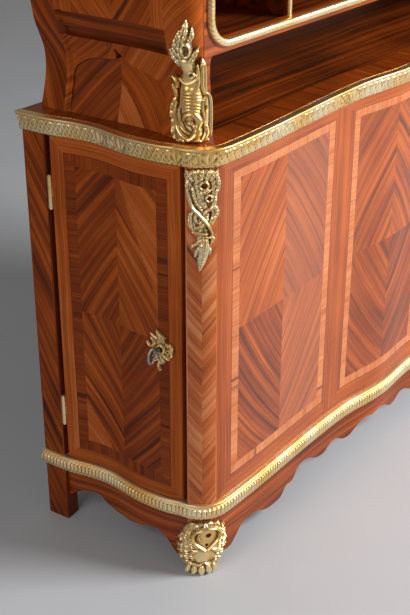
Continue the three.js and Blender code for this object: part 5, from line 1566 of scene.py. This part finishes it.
def make_opening():
    """A leafy half-round moulding round the opening, and gilt edges on the dividers."""
    low, high = PIGEON + OPENING_SILL, UPPER_TOP - OPENING_HEAD
    loop, normal, at = rounded_loop(OPENING_HALF, low, high, OPENING_ROUND, 1500)
    half = RING_WIDE / 2
    s, t = np.meshgrid(at, np.linspace(0, math.pi, 15), indexing="ij")
    leaves = weave(s, t)
    lift = (RING_THICK - RING_ROOM) * np.sin(t) ** 0.55 + RING_LEAF * leaves * np.sin(t)
    wide = half - (half - SEAT) * np.cos(t)
    x = loop[:, :1] + normal[:, :1] * wide
    z = loop[:, 1:] + normal[:, 1:] * wide
    face = UPPER_SETBACK + SHIFT - SEAT
    patina_and_shade = cavity(leaves * 0.0012, 3, sizes().patina_strength)
    front = Form(np.stack([x, face - lift, z], -1), cells(*s.shape, round_rows=True), patina_and_shade=patina_and_shade)
    back = np.stack([x, np.full(x.shape, face + 1e-4), z], -1)
    put("opening_moulding_face", front.thickened(back.reshape(-1, 3)), finish("gilt"), CABINET,
        ["opening_moulding"], GILT_CREASE)
    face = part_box("divider_1")[0].y
    levels = between([FLOOR_TOP + 0.0005, UPPER_TOP - 0.001], 0.0025)
    z, t = np.meshgrid(levels, np.linspace(0, math.pi, 11), indexing="ij")
    leaves = weave(z, t)
    y = face - SEAT - (EDGE_THICK - EDGE_ROOM) * np.sin(t) ** 0.7 - EDGE_LEAF * leaves * np.sin(t)
    patina_and_shade = cavity(leaves * EDGE_LEAF, 2, sizes().patina_strength)
    for i in range(DIVIDERS):
        middle = (i - (DIVIDERS - 1) / 2) * DIVIDER_PITCH
        x = middle - EDGE_HALF * np.cos(t)
        strip = Form(np.stack([x, y, z], -1), cells(*z.shape), patina_and_shade=patina_and_shade)
        back = np.stack([x, np.full(x.shape, face), z], -1)
        put(f"divider_edge_{i + 1}", strip.thickened(back.reshape(-1, 3)), finish("gilt"), CABINET,
            crease=GILT_CREASE)


# Key

def tube(path, radii, sides, closed=False):
    """Round sections of given radii carried along a path; open ends close to a point-sized ring."""
    path = np.asarray(path, float)
    tangent = np.roll(path, -1, 0) - np.roll(path, 1, 0) if closed else np.gradient(path, axis=0)
    tangent /= np.linalg.norm(tangent, axis=1)[:, None]
    up = np.array([0.0, 0.0, 1.0]) if abs(tangent[0, 2]) < 0.9 else np.array([1.0, 0.0, 0.0])
    if closed:
        across = np.cross(tangent[0], tangent[len(path) // 4])
        up = across / np.linalg.norm(across)
    u = np.cross(tangent, up)
    u /= np.linalg.norm(u, axis=1)[:, None]
    v = np.cross(u, tangent)
    a = np.linspace(0, 2 * math.pi, sides, endpoint=False)
    ring = u[:, None] * np.cos(a)[None, :, None] + v[:, None] * np.sin(a)[None, :, None]
    points = path[:, None] + ring * np.asarray(radii, float)[:, None, None]
    quads = cells(len(path), sides, round_rows=closed, round_columns=True)
    if not closed:
        j = np.arange(sides // 2 - 1)
        start = np.stack([j, j + 1, sides - 2 - j, sides - 1 - j], 1)
        quads = np.r_[quads, start, start[:, ::-1] + (len(path) - 1) * sides]
    return Form(points, quads)


def make_key():
    """A turned shank with a collar, an oval bow and a plain block for its bit."""
    at = base.place(KEY_RUN, KEY_LEVEL, 0.0)
    out = at - base.place(KEY_RUN, KEY_LEVEL, -1.0)
    across = np.array([-out[1], out[0], 0.0])
    up = np.array([0.0, 0.0, 1.0])
    inner, tip = -(LOCK_SUNK + LOCK_THICK - SEAT), 0.016
    along = np.array([inner, -0.001, 0.0, 0.003, 0.0035, 0.005, 0.0065, 0.007, 0.012, 0.0125, 0.014,
                      0.0155, tip])
    radii = np.array([2.3, 2.3, 2.2, 2.2, 2.9, 3.2, 2.9, 2.2, 2.2, 2.9, 3.2, 2.9, 2.3]) * 0.001
    shank = tube(at + out * along[:, None], radii, 20)
    a = np.linspace(0, 2 * math.pi, 56, endpoint=False)
    centre = at + out * (tip + 0.0118)
    oval = centre + out * (0.0098 * np.cos(a))[:, None] + up * (0.0128 * np.sin(a))[:, None]
    bow = tube(oval, np.full(len(a), 0.0021), 14, closed=True)
    low, high = inner + 0.0001, inner + 0.0054
    corners = [at + out * o + across * s + up * z for o in (low, high) for s in (-0.0015, 0.0015)
               for z in (-0.006, -0.0005)]
    form = joined(shank, bow, Form(corners, BOX_FACES))
    put("key_left_face", form, finish("iron"), "left_key", ["key_left"])


# CAD nodes that keep their shape

KEPT = {
    "rails": ("face_frame",),
    "inside": ("upper_floor", *(f"divider_{i + 1}" for i in range(DIVIDERS))),
    "oak": ("base_bottom_board", "base_back_panel", "partition", "shelf_left", "shelf_right",
            "upper_back_panel"),
    "iron": ("lock_left", "lock_right", "lock_bolt_left", "lock_bolt_right"),
}


def paint_nodes():
    """Gives the carried-over CAD nodes their finishes."""
    chosen = {node: name for name, nodes in KEPT.items() for node in nodes}
    for node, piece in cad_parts.items():
        name = chosen.get(node, "plain_gilt" if node.startswith(("hinge", "strike")) else None)
        if name:
            piece.data.materials.clear()
            piece.data.materials.append(finish(name).material)


# Studio

def make_studio():
    """A pale floor, a soft key light on the front, a weaker fill on the side, and the photograph's camera."""
    scene = bpy.context.scene
    c = scene.cabinet_colours
    scene.view_settings.view_transform = "Standard"
    world = bpy.data.worlds.new("studio")
    scene.world = world
    world.use_nodes = True
    tree = world.node_tree
    ground = tree.nodes["Background"]
    ground.inputs["Color"].default_value = (*c.backdrop, 1)
    ground.inputs["Strength"].default_value = c.world_light
    seen = tree.nodes.new("ShaderNodeBackground")
    seen.inputs["Color"].default_value = (*c.backdrop, 1)
    seen.inputs["Strength"].default_value = 1.0
    rays = tree.nodes.new("ShaderNodeLightPath")
    both = tree.nodes.new("ShaderNodeMixShader")
    tree.links.new(rays.outputs["Is Camera Ray"], both.inputs[0])
    tree.links.new(ground.outputs[0], both.inputs[1])
    tree.links.new(seen.outputs[0], both.inputs[2])
    tree.links.new(both.outputs[0], tree.nodes["World Output"].inputs["Surface"])

    floor_paint = Paint("studio_floor", "")
    grey = floor_paint.noise(floor_paint.coordinates("object"), 3.0, detail=3.0)
    tint = tuple(v * 0.95 for v in c.floor)
    mottled = floor_paint.ramp(grey, ((0.3, tint), (0.7, tuple(c.floor))))
    floor_paint.set(floor_paint.shader, {"Base Color": mottled, "Roughness": 0.7})
    reach = np.linspace(-FLOOR_REACH, FLOOR_REACH, 13)
    x, y = np.meshgrid(reach, reach, indexing="ij")
    mesh = bpy.data.meshes.new("floor")
    mesh.from_pydata(np.stack([x, y, np.zeros(x.shape)], -1).reshape(-1, 3).tolist(), [],
                     cells(*x.shape).tolist())
    mesh.materials.append(floor_paint.material)
    floor = bpy.data.objects.new("floor", mesh)
    scene.collection.objects.link(floor)

    for name, place, power in (("key", KEY_PLACE, c.key_light), ("fill", FILL_PLACE, c.fill_light)):
        lamp = bpy.data.lights.new(name, "AREA")
        lamp.shape = "DISK"
        lamp.size = LAMP_SIZE
        lamp.energy = power
        light = bpy.data.objects.new(name, lamp)
        light.location = place
        light.rotation_euler = (Vector(AIM) - Vector(place)).to_track_quat("-Z", "Y").to_euler()
        scene.collection.objects.link(light)

    lens = bpy.data.cameras.new("view")
    lens.sensor_fit = "AUTO"
    lens.sensor_width = SENSOR
    lens.lens = LENS
    camera = bpy.data.objects.new("view", lens)
    ahead = Vector((HEADING[0] * math.cos(PITCH), HEADING[1] * math.cos(PITCH), -math.sin(PITCH)))
    camera.matrix_world = Matrix.Translation(EYE) @ ahead.to_track_quat("-Z", "Y").to_matrix().to_4x4()
    scene.collection.objects.link(camera)
    scene.camera = camera


# The add-on

class CabinetSizes(bpy.types.PropertyGroup):
    """Sizes of the cabinet's finish that a user may change."""

    grid_step: bpy.props.FloatProperty(
        name="Veneer step", description="Largest cell of a veneered face", default=0.003, unit="LENGTH")
    wall_step: bpy.props.FloatProperty(
        name="Wall step", description="Largest cell of an end wall", default=0.0025, unit="LENGTH")
    moulding_step: bpy.props.FloatProperty(
        name="Moulding step", description="Station spacing of the mouldings", default=0.0011, unit="LENGTH")
    profile_points: bpy.props.IntProperty(
        name="Profile points", description="Points across a moulding's profile", default=29, min=8)
    leaf_pitch: bpy.props.FloatProperty(
        name="Leaf pitch", description="Spacing of the top moulding's leaves", default=0.016, unit="LENGTH")
    tongue_pitch: bpy.props.FloatProperty(
        name="Tongue pitch", description="Spacing of the foot band's leaves", default=0.0074, unit="LENGTH")
    cell: bpy.props.FloatProperty(
        name="Casting cell", description="Cell of the cast mounts", default=0.0008, unit="LENGTH")
    patina_strength: bpy.props.FloatProperty(
        name="Patina strength", description="How fast patina gathers in hollows, per metre of depth",
        default=700.0)


class CabinetColours(bpy.types.PropertyGroup):
    """Colours and light levels that a user may change."""

    wood_dark: bpy.props.FloatVectorProperty(
        name="Wood, dark", description="Veins of the rosewood", subtype="COLOR",
        default=(0.055, 0.012, 0.003))
    wood_mid: bpy.props.FloatVectorProperty(
        name="Wood, middle", description="Ground of the rosewood", subtype="COLOR",
        default=(0.27, 0.045, 0.004))
    wood_bright: bpy.props.FloatVectorProperty(
        name="Wood, bright", description="Bright stripes", subtype="COLOR", default=(0.52, 0.11, 0.013))
    wood_pale: bpy.props.FloatVectorProperty(
        name="Wood, pale", description="Salmon bandings", subtype="COLOR", default=(0.74, 0.27, 0.1))
    # Side shade darkens the wood of the end, top, plinth and inside veneers: painted shade.
    side_painted_shade: bpy.props.FloatProperty(
        name="Side shade", description="How dark the end veneers are beside the front ones", default=0.88)
    oak: bpy.props.FloatVectorProperty(
        name="Oak", description="Carcass wood", subtype="COLOR", default=(0.34, 0.2, 0.09))
    gilt: bpy.props.FloatVectorProperty(
        name="Gilt", description="Gilding", subtype="COLOR", default=(0.94, 0.6, 0.21))
    gilt_rubbed: bpy.props.FloatVectorProperty(
        name="Gilt, rubbed", description="Gilding worn pale", subtype="COLOR", default=(1.0, 0.82, 0.5))
    # Umber paints the patina in the gilt's hollows and the painted shade on the cast mounts' low ground.
    umber: bpy.props.FloatVectorProperty(
        name="Umber", description="Patina in the hollows", subtype="COLOR", default=(0.09, 0.055, 0.03))
    iron: bpy.props.FloatVectorProperty(
        name="Iron", description="Locks and key", subtype="COLOR", default=(0.42, 0.41, 0.4))
    floor: bpy.props.FloatVectorProperty(
        name="Floor", description="Studio floor", subtype="COLOR", default=(0.5, 0.51, 0.53))
    backdrop: bpy.props.FloatVectorProperty(
        name="Backdrop", description="Studio background", subtype="COLOR", default=(0.16, 0.155, 0.15))
    world_light: bpy.props.FloatProperty(
        name="World light", description="Strength of the even light", default=1.2)
    key_light: bpy.props.FloatProperty(
        name="Key light", description="Power of the light on the front", default=175.0, unit="POWER")
    fill_light: bpy.props.FloatProperty(
        name="Fill light", description="Power of the light on the end", default=22.0, unit="POWER")


class CABINET_OT_studio(bpy.types.Operator):
    """Adds the floor, the lights and the camera"""

    bl_idname = "cabinet.studio"
    bl_label = "Make the studio"

    def execute(self, context):
        make_studio()
        return {"FINISHED"}


class CABINET_OT_panels(bpy.types.Operator):
    """Adds the three framed front panels"""

    bl_idname = "cabinet.panels"
    bl_label = "Make the front panels"

    def execute(self, context):
        make_panels()
        return {"FINISHED"}


class CABINET_OT_posts(bpy.types.Operator):
    """Adds the rounded corner posts"""

    bl_idname = "cabinet.posts"
    bl_label = "Make the corner posts"

    def execute(self, context):
        make_posts()
        return {"FINISHED"}


class CABINET_OT_stiles(bpy.types.Operator):
    """Adds the rear stiles"""

    bl_idname = "cabinet.stiles"
    bl_label = "Make the rear stiles"

    def execute(self, context):
        make_stiles()
        return {"FINISHED"}


class CABINET_OT_aprons(bpy.types.Operator):
    """Adds the scalloped aprons"""

    bl_idname = "cabinet.aprons"
    bl_label = "Make the aprons"

    def execute(self, context):
        make_aprons()
        return {"FINISHED"}


class CABINET_OT_doors(bpy.types.Operator):
    """Adds the two end doors"""

    bl_idname = "cabinet.doors"
    bl_label = "Make the doors"

    def execute(self, context):
        make_doors()
        return {"FINISHED"}


class CABINET_OT_top_board(bpy.types.Operator):
    """Adds the banded top board"""

    bl_idname = "cabinet.top_board"
    bl_label = "Make the base's top board"

    def execute(self, context):
        make_top_board()
        return {"FINISHED"}


class CABINET_OT_walls(bpy.types.Operator):
    """Adds the bellied end walls and the panels behind their arches"""

    bl_idname = "cabinet.walls"
    bl_label = "Make the end walls"

    def execute(self, context):
        make_walls()
        return {"FINISHED"}


class CABINET_OT_upper_top(bpy.types.Operator):
    """Adds the moulded top board of the case"""

    bl_idname = "cabinet.upper_top"
    bl_label = "Make the case's top board"

    def execute(self, context):
        make_upper_top()
        return {"FINISHED"}


class CABINET_OT_mouldings(bpy.types.Operator):
    """Adds the gilt mouldings of the top and the foot"""

    bl_idname = "cabinet.mouldings"
    bl_label = "Make the mouldings"

    def execute(self, context):
        make_mouldings()
        return {"FINISHED"}


class CABINET_OT_mounts(bpy.types.Operator):
    """Adds the corner, foot and keyhole mounts"""

    bl_idname = "cabinet.mounts"
    bl_label = "Make the cast mounts"

    def execute(self, context):
        make_mounts()
        return {"FINISHED"}


class CABINET_OT_opening(bpy.types.Operator):
    """Adds the gilt round the opening and on the dividers"""

    bl_idname = "cabinet.opening"
    bl_label = "Make the opening's mouldings"

    def execute(self, context):
        make_opening()
        return {"FINISHED"}


class CABINET_OT_key(bpy.types.Operator):
    """Adds the key in the left door"""

    bl_idname = "cabinet.key"
    bl_label = "Make the key"

    def execute(self, context):
        make_key()
        return {"FINISHED"}


class CABINET_OT_finishes(bpy.types.Operator):
    """Gives the carried-over CAD nodes their materials"""

    bl_idname = "cabinet.finishes"
    bl_label = "Finish the CAD nodes"

    def execute(self, context):
        paint_nodes()
        return {"FINISHED"}


OPERATORS = (
    CABINET_OT_studio, CABINET_OT_panels, CABINET_OT_posts, CABINET_OT_stiles, CABINET_OT_aprons,
    CABINET_OT_doors, CABINET_OT_top_board, CABINET_OT_walls, CABINET_OT_upper_top, CABINET_OT_mouldings,
    CABINET_OT_mounts, CABINET_OT_opening, CABINET_OT_key, CABINET_OT_finishes)


class CABINET_PT_panel(bpy.types.Panel):
    """Lists the cabinet's sizes, colours and makers."""

    bl_label = "Filing cabinet"
    bl_idname = "CABINET_PT_panel"
    bl_space_type = "VIEW_3D"
    bl_region_type = "UI"
    bl_category = "Cabinet"

    def draw(self, context):
        for group in (context.scene.cabinet_sizes, context.scene.cabinet_colours):
            for name in group.__annotations__:
                self.layout.prop(group, name)
        for maker in OPERATORS:
            self.layout.operator(maker.bl_idname)


CLASSES = (CabinetSizes, CabinetColours, *OPERATORS, CABINET_PT_panel)


def register():
    for cls in CLASSES:
        bpy.utils.register_class(cls)
    bpy.types.Scene.cabinet_sizes = bpy.props.PointerProperty(type=CabinetSizes)
    bpy.types.Scene.cabinet_colours = bpy.props.PointerProperty(type=CabinetColours)


def unregister():
    del bpy.types.Scene.cabinet_sizes
    del bpy.types.Scene.cabinet_colours
    for cls in reversed(CLASSES):
        bpy.utils.unregister_class(cls)


def main():
    register()
    bpy.ops.cabinet.studio()
    bpy.ops.cabinet.panels()
    bpy.ops.cabinet.posts()
    bpy.ops.cabinet.stiles()
    bpy.ops.cabinet.aprons()
    bpy.ops.cabinet.doors()
    bpy.ops.cabinet.top_board()
    bpy.ops.cabinet.walls()
    bpy.ops.cabinet.upper_top()
    bpy.ops.cabinet.mouldings()
    bpy.ops.cabinet.mounts()
    bpy.ops.cabinet.opening()
    bpy.ops.cabinet.key()
    bpy.ops.cabinet.finishes()


if __name__ == "__main__":
    main()
